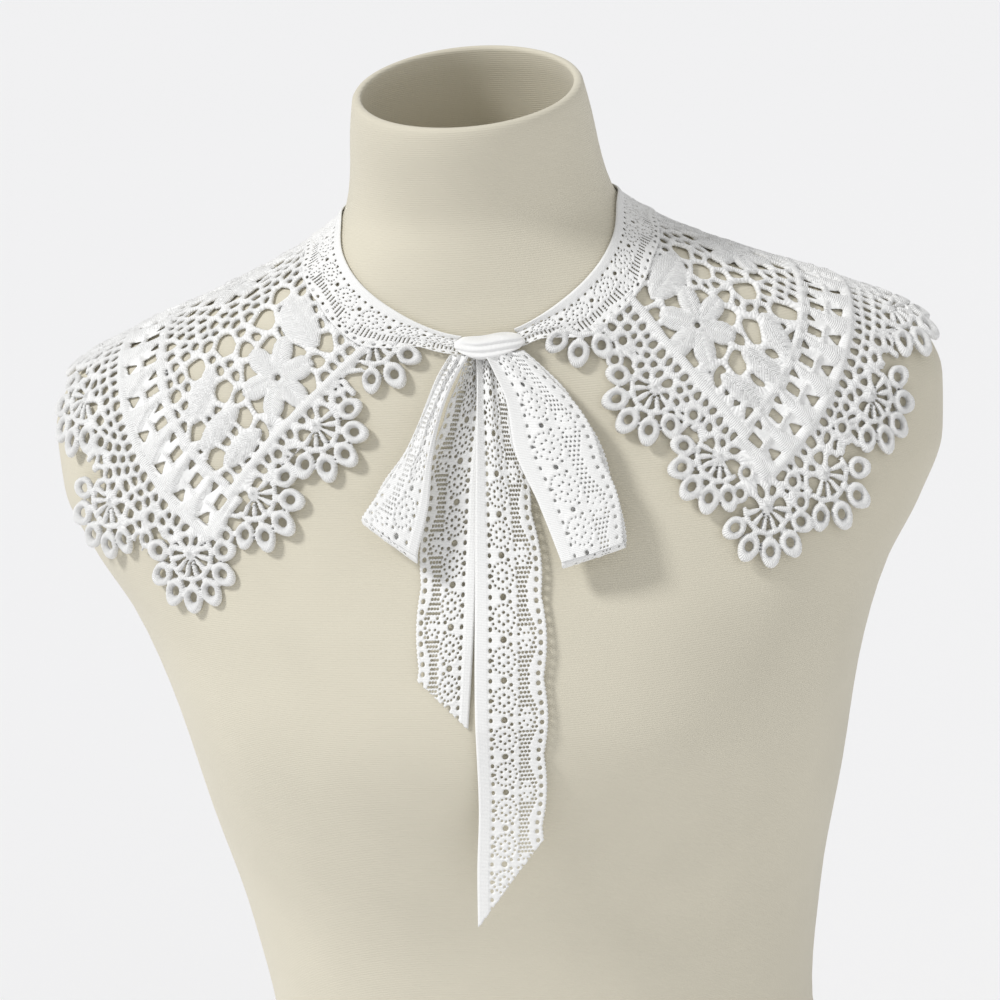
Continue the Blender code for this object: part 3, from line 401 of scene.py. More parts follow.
def oval(across, along, halves):
    """Distance to an oval's edge in a direction given by its cosine and sine."""
    return 1 / np.sqrt((across / halves[0]) ** 2 + (along / halves[1]) ** 2)


def domed(height, share):
    return height * np.sqrt(np.clip(1 - share ** 2, 0, 1))


def box_round(xs, ys, spare):
    return min(xs) - spare, max(xs) + spare, min(ys) - spare, max(ys) + spare


def distance(p, q):
    return hypot(q[0] - p[0], q[1] - p[1])


def stroke(a, b, w0, w1, height, s0=0.0):
    """Straight strand from a to b with half widths w0 and w1."""
    ax, ay = a
    dx, dy = b[0] - ax, b[1] - ay
    span = max(hypot(dx, dy), 1e-6)

    def shape(x, y):
        t = np.clip(((x - ax) * dx + (y - ay) * dy) / span ** 2, 0, 1)
        away = np.hypot(x - ax - t * dx, y - ay - t * dy)
        width = w0 + (w1 - w0) * t
        aside = ((y - ay) * dx - (x - ax) * dy) / span
        along = s0 + ((x - ax) * dx + (y - ay) * dy) / span
        return width - away, domed(height, away / width), along, aside

    return shape, box_round((ax, b[0]), (ay, b[1]), max(w0, w1) + SHAPE_SPARE), 0.0


def run(points, w0, w1, height):
    """Strand along several points."""
    pairs = list(zip(points, points[1:]))
    total = sum(distance(p, q) for p, q in pairs)
    rows = []
    s = 0.0
    for p, q in pairs:
        end = s + distance(p, q)
        at, to = (w0 + (w1 - w0) * place / total for place in (s, end))
        rows.append(stroke(p, q, at, to, height, s))
        s = end
    return rows


def ring(centre, axis, outer, inner, point, height):
    """Ring or picot: outer and inner half sizes (along, across), drawn out to a point ahead.

    Without an inner size it is a solid knob."""
    half_turn = pi * (outer[0] + outer[1]) / 2

    def shape(x, y):
        p, q = local(x, y, centre, axis)
        away = np.hypot(p, q) + 1e-9
        far = oval(p / away, q / away, outer) + point * np.clip(p / away, 0, 1) ** 5
        out = far - away
        along = np.arctan2(q, p) * half_turn / pi
        if inner is None:
            return out, domed(height, away / far), along, away
        into = away - oval(p / away, q / away, inner)
        t = np.clip(into / np.maximum(into + out, 1e-6), 0, 1)
        high = height * np.sqrt(np.clip(4 * t * (1 - t), 0, 1))
        return np.minimum(out, into), high, along, away

    if inner is not None:
        EYELETS.append((centre, axis, inner))
    reach = max(outer) + point + SHAPE_SPARE
    return shape, box_round(centre[:1], centre[1:], reach), 2 * half_turn


def leaf(centre, axis, half_length, half_width, height, fuller=0.0, hatch=0.0, vein=0.0):
    """Leaf or petal, filled with satin stitch that slants from its middle."""

    def shape(x, y):
        p, q = local(x, y, centre, axis)
        t = np.clip(p / half_length, -1, 1)
        width = half_width * (1 - t * t) ** 0.62 * (1 + fuller * t) + 1e-4
        inside = np.where(
            np.abs(p) < half_length, (width - np.abs(q)) * 0.92, half_length - np.abs(p))
        slant = p - 0.75 * np.abs(q)
        high = height * np.clip(1 - (q / width) ** 2, 0, 1) ** 0.42
        high = high * np.clip((1 - np.abs(t)) * 5, 0, 1) ** 0.5
        high = high * (1 - hatch * (0.5 - 0.5 * np.cos(2 * pi * slant / HATCH_PITCH)) ** 2)
        high = high * (1 - vein * np.exp(-(q / VEIN_WIDTH) ** 2))
        return inside, high, slant, q

    return shape, box_round(centre[:1], centre[1:], half_length + SHAPE_SPARE), 0.0


def polar(radius, turn):
    return radius * sin(radians(turn)), radius * cos(radians(turn))


def ahead(hub, axis, forward, aside=0.0):
    c, s = cos(radians(axis)), sin(radians(axis))
    return hub[0] + c * forward - s * aside, hub[1] + s * forward + c * aside


def around(hub, axis, reach, beta):
    return ahead(hub, axis, reach * cos(radians(beta)), reach * sin(radians(beta)))


def ease(value, low, high):
    t = np.clip((np.asarray(value, float) - low) / (high - low), 0, 1)
    return t * t * (3 - 2 * t)


def cord_radius(turn, side):
    rows = np.array(OUTER_CORD[side], float)
    return column(rows[:, 0], rows[:, 1], np.clip(turn, 0, rows[-1, 0]))


def front_level(x, side):
    """Flat y of the front cord at a flat x."""
    rows = np.array(FRONT_CORD[side], float)
    return np.interp(x, rows[:, 0], rows[:, 1])


def fan(spread, count):
    return [spread * (i / (count - 1) - 0.5) for i in range(count)]


def band_width(turn):
    return BAND_WIDE - (BAND_WIDE - BAND_NARROW) * ease(turn, 95, 110)


def scallops(side):
    """Hub, axis, picot angles of each scallop from the front to the centre back."""
    rows = [((x, y), axis, fan(spread, count)) for x, y, axis, spread, count in SCALLOPS[side]]
    first, last, steps = BACK_SCALLOPS[side]
    for k in range(steps + 1):
        turn = first + (last - first) * k / steps
        radius = float(cord_radius(turn, side)) + HUB_FROM_CORD + 5 * float(ease(turn, 45, 62))
        rows.append((polar(radius, turn), 90.0 - turn, fan(130, 5)))
    return rows


def cords(side):
    """Front cord, outer cord and inner cord, each a run of points."""
    last = OUTER_CORD[side][-1][0]
    front = [(float(x), float(y)) for x, y in FRONT_CORD[side]]
    outer, inner = (
        [polar(float(cord_radius(turn, side)) - inset, turn)
         for turn in np.linspace(first, PAST_BACK, count)]
        for first, count, inset in ((last, 70, 0), (last + PAST_BACK, 66, CHANNEL_WIDTH)))
    return front, outer, inner


def along_line(points, step):
    """Places and headings spaced along a run of points."""
    rows = []
    left = step / 2
    for p, q in zip(points, points[1:]):
        length = distance(p, q)
        while left < length:
            t = left / length
            place = (p[0] + (q[0] - p[0]) * t, p[1] + (q[1] - p[1]) * t)
            rows.append((place, degrees(atan2(q[1] - p[1], q[0] - p[0]))))
            left += step
        left -= length
    return rows


def from_line(point, points):
    """Shortest distance from a place to a run of points."""
    p = np.array(points, float)
    a = p[:-1]
    d = p[1:] - a
    t = np.clip(((point - a) * d).sum(1) / np.maximum((d * d).sum(1), 1e-9), 0, 1)
    return float(np.hypot(*(a + d * t[:, None] - point).T).min())


def scallop_shapes(hub, axis, picots):
    """One scallop: half flower of spokes, its arc and its picots."""
    rows = []
    widest = max(picots)
    for i, beta in enumerate(picots):
        size, reach = PICOT_END if i in (0, len(picots) - 1) else (1.0, 1.0)
        centre = around(hub, axis, PICOT_REACH * reach, beta)
        outer = tuple(half * size for half in PICOT_OUTER)
        rows.append(ring(centre, axis + beta, outer, PICOT_INNER, PICOT_POINT, PICOT_HEIGHT))
        foot, head = (around(hub, axis, away, beta) for away in STEM)
        rows.append(stroke(foot, head, *STEM_THREAD))
    arc = [around(hub, axis, ARC_RADIUS, b) for b in np.linspace(-widest - 24, widest + 24, 17)]
    rows += run(arc, *ARC_THREAD)
    spokes = len(picots) + 1
    for k in range(spokes):
        beta = (widest + 13) * (2 * k / (spokes - 1) - 1)
        rows.append(leaf(around(hub, axis, SPOKE_REACH, beta), axis + beta, *SPOKE))
    rows.append(ring(hub, axis, (2.9, 2.9), None, 0.0, 1.6))
    return rows


def off_hub(x, y, hub, axis):
    """Distance in front of a scallop's hub, along its axis, and distance from the hub."""
    return local(x, y, hub, axis)[0], np.hypot(x - hub[0], y - hub[1])


def border_net(side):
    """Openings of the net between the cords and the scallops."""
    front, outer, _ = cords(side)
    chain = front + outer
    fans = scallops(side)
    kept = []
    for hub, axis, _ in fans:
        for beta in (-80, -27, 27, 80):
            gap = around(hub, axis + 180, 5.6 if abs(beta) < 50 else 6.4, beta)
            if from_line(gap, chain) > 3.6:
                kept.append(gap)
    for cord in (front, outer):
        for row in range(5):
            for place, heading in along_line(cord, LADDER_PITCH + 0.25 * row):
                gap = ahead(place, heading - 90, 4.5 + LADDER_ROW * row)
                clear = from_line(gap, chain) > 4.2 + LADDER_ROW * row - 1.5
                for hub, axis, _ in fans:
                    forward, away = off_hub(*gap, hub, axis)
                    clear = clear and away > (12 if forward > 0 else 5.5)
                if clear and all(distance(gap, other) > 4.0 for other in kept):
                    kept.append(gap)
    return [(x + 0.7 * sin(x * 1.9 + y), y + 0.7 * cos(y * 2.3 - x),
             0.15 + 0.45 * sin(x * 1.3 + y * 2.1)) for x, y in kept]


def border_mask(x, y, side, outside):
    """Where the border's net lies: from the cords to the scallops' hubs."""
    front, outer, _ = cords(side)
    chain = np.array(front + outer, float)
    away = np.full(x.shape, 99.0)
    for p, q in zip(chain, chain[1:]):
        dx, dy = q - p
        t = np.clip(((x - p[0]) * dx + (y - p[1]) * dy) / max(dx * dx + dy * dy, 1e-9), 0, 1)
        away = np.minimum(away, np.hypot(x - p[0] - t * dx, y - p[1] - t * dy))
    nearest = np.full(x.shape, 1e9)
    limit = np.zeros(x.shape)
    behind = np.full(x.shape, 99.0)
    for hub, axis, _ in scallops(side):
        forward, off = off_hub(x, y, hub, axis)
        limit = np.where(off < nearest, from_line(hub, chain) + 2.2, limit)
        nearest = np.minimum(nearest, off)
        behind = np.minimum(behind, np.maximum(0.8 - forward, off - 10.4))
    mask = np.minimum(np.minimum(limit, BORDER_LIMIT) - away, behind)
    return np.where(outside & (nearest < HUB_LIMIT), mask, -3.0)


def border_shapes(side):
    """Cords, scallops, and the rings and bars between the scallops."""
    front, outer, inner = cords(side)
    rows = run(front, *FRONT_THREAD) + run([front[-1]] + outer, *OUTER_THREAD)
    rows += run(inner, *INNER_THREAD)
    fans = scallops(side)
    for (hub, axis, picots), following in zip(fans, [*fans[1:], None]):
        rows += scallop_shapes(hub, axis, picots)
        if following is None:
            break
        next_hub, next_axis, _ = following
        middle = ((hub[0] + next_hub[0]) / 2, (hub[1] + next_hub[1]) / 2)
        lean = (axis + next_axis) / 2
        behind = ahead(middle, lean, -3.4)
        if from_line(behind, front + outer) > 5.5:
            rows.append(ring(behind, lean, (4.1, 4.0), (1.85, 1.8), 0, 1.8))
        rows.append(stroke(middle, ahead(middle, lean, 6.0), *BAR_THREAD))
        if abs(axis - next_axis) > 30:
            rows.append(ring(ahead(middle, lean, 5.2), lean, (4.0, 3.9), (1.8, 1.7), 0, 1.7))
        if distance(hub, next_hub) > 33:
            for sign in (-1, 1):
                ends = ahead(middle, lean, -2.5, sign * 3.6), ahead(middle, lean, 1.0, sign * 9.0)
                rows.append(stroke(*ends, *TIE_THREAD))
    return rows


def channel_shapes(side):
    """Leaf fans in the channel between the cords, and the openings between them."""
    rows = []
    openings = []
    last = OUTER_CORD[side][-1][0] - 1.5
    count = round((last - FIRST_FAN) / FAN_PITCH)
    for turn in np.linspace(FIRST_FAN, last, count + 1):
        outer = float(cord_radius(turn, side)) - 1.6
        inner = float(cord_radius(turn, side)) - CHANNEL_WIDTH + 1.2
        middle = (outer + inner) / 2
        centre = turn + FAN_AHEAD
        for opening in (
            ((outer - 1.4, -0.86), (outer - 1.6, 0.74), (middle + 2.6, 0.1)),
            ((inner + 3.0, 0.25), (inner + 3.4, 1.35), (middle + 0.2, 1.1), (middle - 0.6, 0.15)),
            ((inner + 1.3, -1.45), (inner + 1.5, -0.5), (middle - 3.4, -0.85)),
        ):
            openings.append([polar(radius, turn + lean) for radius, lean in opening])
        for lean, to, width in FAN_BLADES:
            start = polar(inner, centre + lean)
            bend = polar(middle - 1, centre + lean * 0.45 + to * 0.15)
            rows += run([start, bend, polar(outer, centre + to)], width * 0.75, width, 2.5)
        for to in (-1.0, -1.6):
            end = polar(middle, centre + to * 0.8 - 0.25)
            rows += run([polar(inner, centre + to), end], 1.2, 1.3, 1.5)
        rows += run([polar(middle + 0.6, turn - 0.7), polar(middle + 0.1, turn + 0.4),
                     polar(middle + 1.4, centre - 0.4)], 1.1, 1.2, 1.6)
    return rows, openings


def off_polygon(x, y, corners):
    """Distance outside a convex opening, negative within it."""
    if sum(p[0] * q[1] - q[0] * p[1] for p, q in zip(corners, corners[1:] + corners[:1])) < 0:
        corners = corners[::-1]
    best = np.full(np.shape(x), -99.0)
    for p, q in zip(corners, corners[1:] + corners[:1]):
        dx, dy = q[0] - p[0], q[1] - p[1]
        best = np.maximum(best, ((x - p[0]) * dy - (y - p[1]) * dx) / hypot(dx, dy))
    return best


def field_shapes(side):
    """Flowers and hatched leaves of the field."""
    rows = []
    sx, sy = SHIFT[side]
    flowers = [(FLOWER[0] + sx, FLOWER[1] + sy)] + [polar(146, t) for t in BACK_FLOWERS]
    for centre in flowers:
        for k in range(6):
            turn = 90 + 60 * k
            rows.append(leaf(ahead(centre, turn, 9.6), turn, *FLOWER_PETAL))
        rows.append(ring(centre, 0, (3.2, 3.2), (1.2, 1.2), 0, 2.0))
    for x, y, *shape in FRONT_LEAVES:
        rows.append(leaf((x + sx, y + sy), *shape))
    for turn in (47.5, 23.5):
        for lean, radius in ((-38, 131), (38, 131), (0, 158)):
            centre = polar(radius, turn + lean * 0.07)
            rows.append(leaf(centre, 90 - turn + lean, *BACK_LEAF))
    return rows, flowers


def net_cells(side, flowers):
    """Openings of the net: centre and weight of each, larger ones first."""
    sx, sy = SHIFT[side]
    cells = []
    for centre in flowers:
        for k in range(6):
            cells.append((*ahead(centre, 120 + 60 * k, 13.0), 2.3))
            cells.append((*ahead(centre, 90 + 60 * k, 20.0), 1.3))
    cells += [(x + sx, y + sy, size) for x, y, size in FRONT_GAPS]
    kept = list(cells)
    radius = 104.0
    for row in range(18):
        count = int(radius * radians(112) / NET_PITCH)
        for k in range(count):
            turn = 112 * (k + 0.5 * (row % 2) + 0.25) / count
            wobble = 1.1 * sin(turn * 2.9 + row * 2.1)
            x, y = polar(radius + wobble, turn + 0.35 * sin(turn * 5.3 + row))
            size = 0.25 + 0.55 * sin(turn * 7.7 + row * 1.3)
            if all(hypot(x - a, y - b) > 3.6 + c for a, b, c in cells):
                kept.append((x, y, size))
        radius += NET_ROW

    def in_field(x, y):
        limit = cord_radius(degrees(atan2(x, y)), side) - CHANNEL_WIDTH - 1
        return y > front_level(x, side) + 2 and hypot(x, y) < limit

    return np.array([cell for cell in kept if in_field(*cell[:2])] + border_net(side))


def net_field(x, y, cells, thread):
    """Reach inside the net's bars, with the nearest opening of each place."""
    best = np.full(len(x), 1e9)
    second = np.full(len(x), 1e9)
    owner = np.zeros(len(x), int)
    for k, (cx, cy, weight) in enumerate(cells):
        near = np.nonzero((np.abs(x - cx) < 18) & (np.abs(y - cy) < 18))[0]
        d = np.hypot(x[near] - cx, y[near] - cy) - weight
        first = d < best[near]
        second[near] = np.where(first, best[near], np.minimum(second[near], d))
        best[near] = np.where(first, d, best[near])
        owner[near] = np.where(first, k, owner[near])
    bar = thread - (second - best) / 2
    rounder = best + cells[owner, 2] - (1.75 + cells[owner, 2])
    return np.where(best < 30, 0.86 * bar + 0.14 * np.minimum(rounder, 2.0), -2), owner


def march(reach, high, x0, y0, step):
    """Triangles of the part of a grid where reach is positive, cut along its edge."""
    rows, columns = reach.shape
    ids = np.arange(rows * columns).reshape(rows, columns)
    a, b, c, d = (
        part.ravel() for part in (ids[:-1, :-1], ids[1:, :-1], ids[1:, 1:], ids[:-1, 1:]))
    tris = np.concatenate([np.stack([a, b, c], 1), np.stack([a, c, d], 1)])
    f = reach.ravel()
    inside = f[tris] > 0
    count = inside.sum(1)
    kept = [tris[count == 3]]
    size = rows * columns

    def edge(p, q):
        return size + np.minimum(p, q) * size + np.maximum(p, q)

    for wanted in (1, 2):
        part = tris[count == wanted]
        flags = inside[count == wanted]
        if wanted == 2:
            flags = ~flags
        turn = flags.argmax(1)
        rotated = part[np.arange(len(part))[:, None], (turn[:, None] + np.arange(3)) % 3]
        p, q, r = rotated.T
        if wanted == 1:
            kept.append(np.stack([p, edge(p, q), edge(p, r)], 1))
        else:
            kept.append(np.stack([edge(p, q), q, r], 1))
            kept.append(np.stack([edge(p, q), r, edge(p, r)], 1))
    faces = np.concatenate(kept)
    used, faces = np.unique(faces, return_inverse=True)
    faces = faces.reshape(-1, 3)
    on_node = used < size
    first = np.where(on_node, used, (used - size) // size)
    other = np.where(on_node, used, (used - size) % size)
    t = np.where(on_node, 0, f[first] / np.where(on_node, 1, f[first] - f[other]))
    t = np.where(on_node, 0, np.clip(t, 0.06, 0.94))
    x = x0 + step * (first // columns) * (1 - t) + step * (other // columns) * t
    y = y0 + step * (first % columns) * (1 - t) + step * (other % columns) * t
    return x, y, np.where(on_node, high.ravel()[first], 0.0), on_node, faces


def new_mesh(name, places, faces, uv, material):
    """Mesh object from arrays of triangles, smooth, with its thread coordinates as UV."""
    mesh = bpy.data.meshes.new(name)
    mesh.vertices.add(len(places))
    mesh.vertices.foreach_set("co", np.asarray(places, np.float32).ravel())
    mesh.loops.add(faces.size)
    mesh.loops.foreach_set("vertex_index", faces.astype(np.int32).ravel())
    mesh.polygons.add(len(faces))
    starts = np.arange(0, faces.size, faces.shape[1], dtype=np.int32)
    mesh.polygons.foreach_set("loop_start", starts)
    mesh.update(calc_edges=True)
    if uv is not None:
        layer = mesh.uv_layers.new(name="threads")
        layer.data.foreach_set("uv", np.asarray(uv, np.float32).ravel())
    mesh.validate()
    piece = bpy.data.objects.new(name, mesh)
    bpy.context.scene.collection.objects.link(piece)
    mesh.materials.append(material)
    mesh.shade_smooth()
    return piece


def both_sides(x, y, high, on_node, faces, place, back_share, uv):
    """Closed strand mesh: rounded above, nearly flat below, the two joined at the edge."""
    top = place(x, y, high)
    inner = np.nonzero(on_node)[0]
    below = place(x[inner], y[inner], -back_share * high[inner])
    to_below = np.arange(len(x))
    to_below[inner] = len(x) + np.arange(len(inner))
    a, b, c = (top[faces[:, k]] for k in range(3))
    outward = place(x, y, high + 1.0)[faces[:, 0]] - a
    if (np.cross(b - a, c - a) * outward).sum() < 0:
        faces = faces[:, ::-1]
        uv = uv[:, ::-1]
    all_faces = np.concatenate([faces, to_below[faces][:, ::-1]])
    return np.concatenate([top, below]), all_faces, np.concatenate([uv, uv[:, ::-1]])


def window(box, spare=0):
    """Part of the chart's grid within a box of flat places."""
    starts = (CHART_X, CHART_X, CHART_Y, CHART_Y)
    i0, i1, j0, j1 = (int((edge - start) / STEP) for edge, start in zip(box, starts))
    return slice(max(i0, 0), max(i1 + spare, 0)), slice(max(j0, 0), max(j1 + spare, 0))


def chart_half(side):
    """Collar half drawn on the flat grid: reach, height and owner of each place."""
    size = tuple(int(length / STEP) for length in CHART_SIZE)
    gxx, gyy = np.meshgrid(
        CHART_X + STEP * np.arange(size[0]), CHART_Y + STEP * np.arange(size[1]), indexing="ij")
    EYELETS.clear()
    field, flowers = field_shapes(side)
    channel, openings = channel_shapes(side)
    openings = [(window(box_round(*zip(*corners), 3)), corners) for corners in openings]
    shapes = border_shapes(side) + channel + field
    cells = net_cells(side, flowers)

    # Net, within the field and the border
    radius = np.hypot(gxx, gyy)
    turn = np.degrees(np.arctan2(gxx, gyy))
    cord = cord_radius(turn, side)
    last = OUTER_CORD[side][-1][0]
    neck = radius - (NECK_RADIUS + band_width(turn) - 3.5)
    outward = cord - CHANNEL_WIDTH - radius
    below = gyy - front_level(gxx, side)
    mask = np.minimum(neck, np.minimum(outward, below))
    mask = np.where(turn > last + 25, -3, mask)
    outside = (radius > cord) | ((below < 0) & (gxx > 90)) | (turn > last)
    strip = border_mask(gxx, gyy, side, outside)
    mask = np.maximum(mask, strip)
    inside = mask > -2.5
    thread = np.where(strip[inside] > 0, *NET_THREADS)
    net, cell = net_field(gxx[inside], gyy[inside], cells, thread)
    net = np.minimum(net, mask[inside])
    reach = np.full(size, -3.0)
    high = np.zeros(size)
    owner = np.full(size, -1)
    cell_of = np.zeros(size, int)
    reach[inside] = net
    high[inside] = NET_HEIGHT * np.sqrt(np.clip(net / 1.1, 0, 1))
    cell_of[inside] = cell

    # Plain ground of the channel
    plate = np.minimum(-outward, cord - radius)
    plate = np.minimum(plate, np.minimum((last + 4 - turn) * 3, below))
    for part, corners in openings:
        plate[part] = np.minimum(plate[part], off_polygon(gxx[part], gyy[part], corners))
    high = np.where(plate > 0, np.maximum(high, 0.4 * np.sqrt(np.clip(plate, 0, 1))), high)
    reach = np.maximum(reach, plate)

    # Strands, then the openings that stay open under them
    for k, (shape, box, _) in enumerate(shapes):
        part = window(box, 2)
        f, h, _, _ = shape(gxx[part], gyy[part])
        won = np.where((f > 0) & (reach[part] > 0), h > high[part], f > reach[part])
        owner[part] = np.where(won, k, owner[part])
        reach[part] = np.maximum(reach[part], f)
        high[part] = np.where(f > 0, np.maximum(high[part], h), high[part])
    for part, corners in openings:
        off = off_polygon(gxx[part], gyy[part], corners)
        reach[part] = np.where(off < 2, np.minimum(reach[part], off), reach[part])
        high[part] = np.minimum(high[part], 2.0 * np.sqrt(np.clip(reach[part] / 1.2, 0, 1)))
    for centre, axis, inner in EYELETS:
        part = window(box_round(centre[:1], centre[1:], 6))
        p, q = local(gxx[part], gyy[part], centre, axis)
        away = np.hypot(p, q) + 1e-9
        off = away - oval(p / away, q / away, inner)
        reach[part] = np.where(off < 1, np.minimum(reach[part], off), reach[part])
        slope = np.minimum(high[part], 1.5 * np.sqrt(np.clip(off, 0, 1)))
        high[part] = np.where(off < 0.9, slope, high[part])
    reach = np.minimum(reach, gxx - HALF_GAP)
    reach = np.minimum(reach, radius - (NECK_RADIUS + band_width(turn) - 4.0))
    return reach, high, owner, cell_of, shapes, cells


def thread_coordinates(x, y, faces, owner, cell_of, shapes, cells):
    """Thread coordinates of each face's corners, from the strand that owns the face."""
    fx, fy = x[faces], y[faces]
    i, j = (
        np.clip(np.round((corners.mean(1) - start) / STEP).astype(int), 0, count - 1)
        for corners, start, count in zip((fx, fy), (CHART_X, CHART_Y), owner.shape))
    who = owner[i, j]
    uv = np.zeros((*faces.shape, 2))
    net = who < 0
    centres = cells[cell_of[i, j][net]]
    dx, dy = fx[net] - centres[:, :1], fy[net] - centres[:, 1:2]
    uv[net, :, 0] = unwrapped(np.arctan2(dy, dx), 2 * pi) * 2.6
    uv[net, :, 1] = np.hypot(dy, dx)
    order = np.argsort(who, kind="stable")
    starts = np.searchsorted(who[order], np.arange(len(shapes) + 1))
    for k, (shape, _, period) in enumerate(shapes):
        group = order[starts[k]:starts[k + 1]]
        if len(group):
            _, _, along, across = shape(fx[group], fy[group])
            uv[group, :, 0] = unwrapped(along, period) if period else along
            uv[group, :, 1] = across
    return uv


def unwrapped(values, period):
    """Each face's values brought within half a period of its first corner's."""
    first = values[:, :1]
    return first + (values - first + period / 2) % period - period / 2


def stand_off(x, y, side):
    """How far the lace stands off the form, mm: a little more towards the picots."""
    turn = np.degrees(np.arctan2(x, y))
    beyond = np.maximum(np.hypot(x, y) - cord_radius(turn, side), 0)
    below = np.maximum(front_level(x, side) - y, 0) * (x > 90)
    reach = np.maximum(beyond, below) / 36
    wave = 0.5 + 0.5 * np.sin(turn * 0.30 + 1.7 * side) * np.sin(x * 0.05 + y * 0.037)
    return 0.9 + np.clip(reach, 0, 1.3) ** 1.5 * (1.0 + 2.2 * wave) + 0.35 * wave


# Ribbon lace: length of one repeat, width it is drawn at, places of its motifs, its heights
REPEAT = 31.5
CHART_RIBBON = 28.0
MEDALLION, LEAF_PLACE = 11.4, 20.2
LATTICE = 1.43964
RIBBON_GROUND, RIBBON_RAISED = 0.42, 0.28
RIBBON_START = -0.4
# Pitch of the yarn's ridges, mm, and strength of their relief
YARN = (0.6, 0.35)


def round_of(count, u, v, half_u, half_v, size):
    """Round of equal openings about a place."""
    turns = [2 * pi * j / count for j in range(count)]
    return [(u + half_u * cos(turn), v + half_v * sin(turn), size, size) for turn in turns]


def ribbon_holes():
    """Openings of one repeat: along, across, half along, half across."""
    half = REPEAT / 2
    rows = [(k * REPEAT / 8, 6.1, 0.8, 0.62) for k in range(8)]
    for k in range(2):
        centre = REPEAT * (0.25 + 0.5 * k)
        rows.append((centre - REPEAT / 4, 11.3, 1.1, 1.05))
        rows += [(centre - REPEAT / 4 + aside, 14.1, 0.6, 0.6) for aside in (-1.9, 1.9)]
        rows += round_of(16, centre, MEDALLION, 5.0, 4.4, 0.42)
        rows += round_of(6, centre, MEDALLION, 2.2, 2.0, 0.5)
    for i in range(18):
        for j in range(6):
            u = i * REPEAT / 18
            v = 17.2 + j * LATTICE + (0.7 if i % 2 else 0.0)
            wave = 22.6 + 1.5 * cos(2 * pi * (u / REPEAT - 0.5))
            if v < wave and hypot((u - half) / 4.6, (v - LEAF_PLACE) / 2.6) > 1:
                rows.append((u, v, 0.50, 0.50))
    for k in range(8):
        u = (k + 0.5) * REPEAT / 8
        rows.append((u, 24.2 + 1.6 * abs(sin(pi * u / REPEAT)), 0.85, 0.75))
    return rows + round_of(5, half, LEAF_PLACE, 2.6, 1.4, 0.4)


def ribbon_field(u, v, width, dense):
    """Reach inside the ribbon's threads and its height, for a ribbon of this width."""
    scale = width / CHART_RIBBON
    at = v / scale
    edge = 26.6 + 1.5 * np.abs(np.sin(pi * u / REPEAT)) + 0.22 * np.sin(2 * pi * u / 1.75)
    inside = np.minimum(np.minimum(v, 9.0), (edge - at) * scale)
    wrapped = np.mod(u, REPEAT)
    for hu, hv, a, b in ribbon_holes():
        du = np.mod(wrapped - hu + REPEAT / 2, REPEAT) - REPEAT / 2
        a, b = a * dense, b * dense
        far = np.sqrt((du / a) ** 2 + ((at - hv) * min(scale, 1.0) / b) ** 2)
        inside = np.minimum(inside, (far - 1) * min(a, b))
    near = np.clip(inside / 0.5, 0, 1)
    medallion = np.mod(u, REPEAT / 2) - REPEAT / 4
    disc = np.hypot(medallion / 6.3, (at - MEDALLION) / 5.4)
    raised = np.exp(-((disc - 1.0) / 0.16) ** 2) + 0.8 * np.exp(-(disc / 0.22) ** 2)
    tape = np.clip((4.9 - at) / 0.5, 0, 1) * (0.75 + 0.25 * np.cos(2 * pi * v / 1.1))
    high = RIBBON_GROUND * np.sqrt(near) + RIBBON_RAISED * near * np.clip(raised + tape, 0, 1)
    return inside, high


def ribbon_piece(name, length, width, step, place, material, dense, clip=None, shift=0.0):
    """Ribbon lace drawn over length and width, then carried to its place."""
    along = RIBBON_START + step * np.arange(int((length + 1.2) / step) + 1)
    across = RIBBON_START + step * np.arange(int((width + 2.0) / step) + 1)
    uu, vv = np.meshgrid(along, across, indexing="ij")
    inside, high = ribbon_field(uu + shift, vv, width, dense)
    inside = np.minimum(inside, np.minimum(uu, length - uu))
    if clip is not None:
        inside = np.minimum(inside, clip(uu, vv))
    x, y, h, on_node, faces = march(inside, high, RIBBON_START, RIBBON_START, step)
    uv = np.stack([x[faces], y[faces]], -1)
    return new_mesh(name, *both_sides(x, y, h, on_node, faces, place, 0.35, uv), material)


# Bow: height, left edge, right edge and lift off the form of each row, mm
TAIL_LEFT = (
    (538, -7, 1, 1.0), (532, -8, 1, 1.0), (515, -16.5, 0, 1.2), (490, -25.5, -3, 1.6),
    (460, -30, -6, 1.8), (430, -33, -9, 1.4), (408, -34.5, -11.7, 1.2), (388, -36, -14.4, 1.2),
)
TAIL_RIGHT = (
    (538, -2, 8, 4.0), (532, -2, 10, 4.1), (515, -3, 13, 4.4), (480, -5.5, 18, 4.2),
    (440, -8, 21, 3.8), (400, -10.4, 19.5, 3.2), (360, -12, 16, 3.2), (330, -15, 13, 3.2),
    (300, -17, 11, 3.2),
)
LOOP_LEFT = (
    (538, -13, -4, 6.6), (530, -18.5, -10, 7.3), (519, -24, -16, 8.0), (500, -34, -22, 8.6),
    (488, -43, -24, 9.0), (473, -52, -30, 9.0),
)
LOOP_RIGHT = (
    (538, 2, 18, 6.6), (532, 5, 24.5, 7.2), (519, 10, 37, 8.0), (503, 12, 46, 8.6),
    (482, 21, 53, 9.0), (462, 29, 56, 9.0),
)
LOOP_OPENING = 5.5
# Grid step of the tails and loops, and how open their lace is
TAIL_STEP, TAIL_DENSE = 0.41, 1.14
LOOP_STEP, LOOP_DENSE = 0.45, 0.78
KNOT_X, KNOT_LEVEL, KNOT_HALF = 4, 540.2, 15.0


def chest_y(x, z):
    """Front of the form, hanging straight below the bust; x and z in metres."""
    half, front, _, centre, power = section(np.maximum(z, 0.392))
    share = np.minimum(np.abs(x) / half, 0.98)
    return centre - front * (1 - share ** power) ** (1 / power)


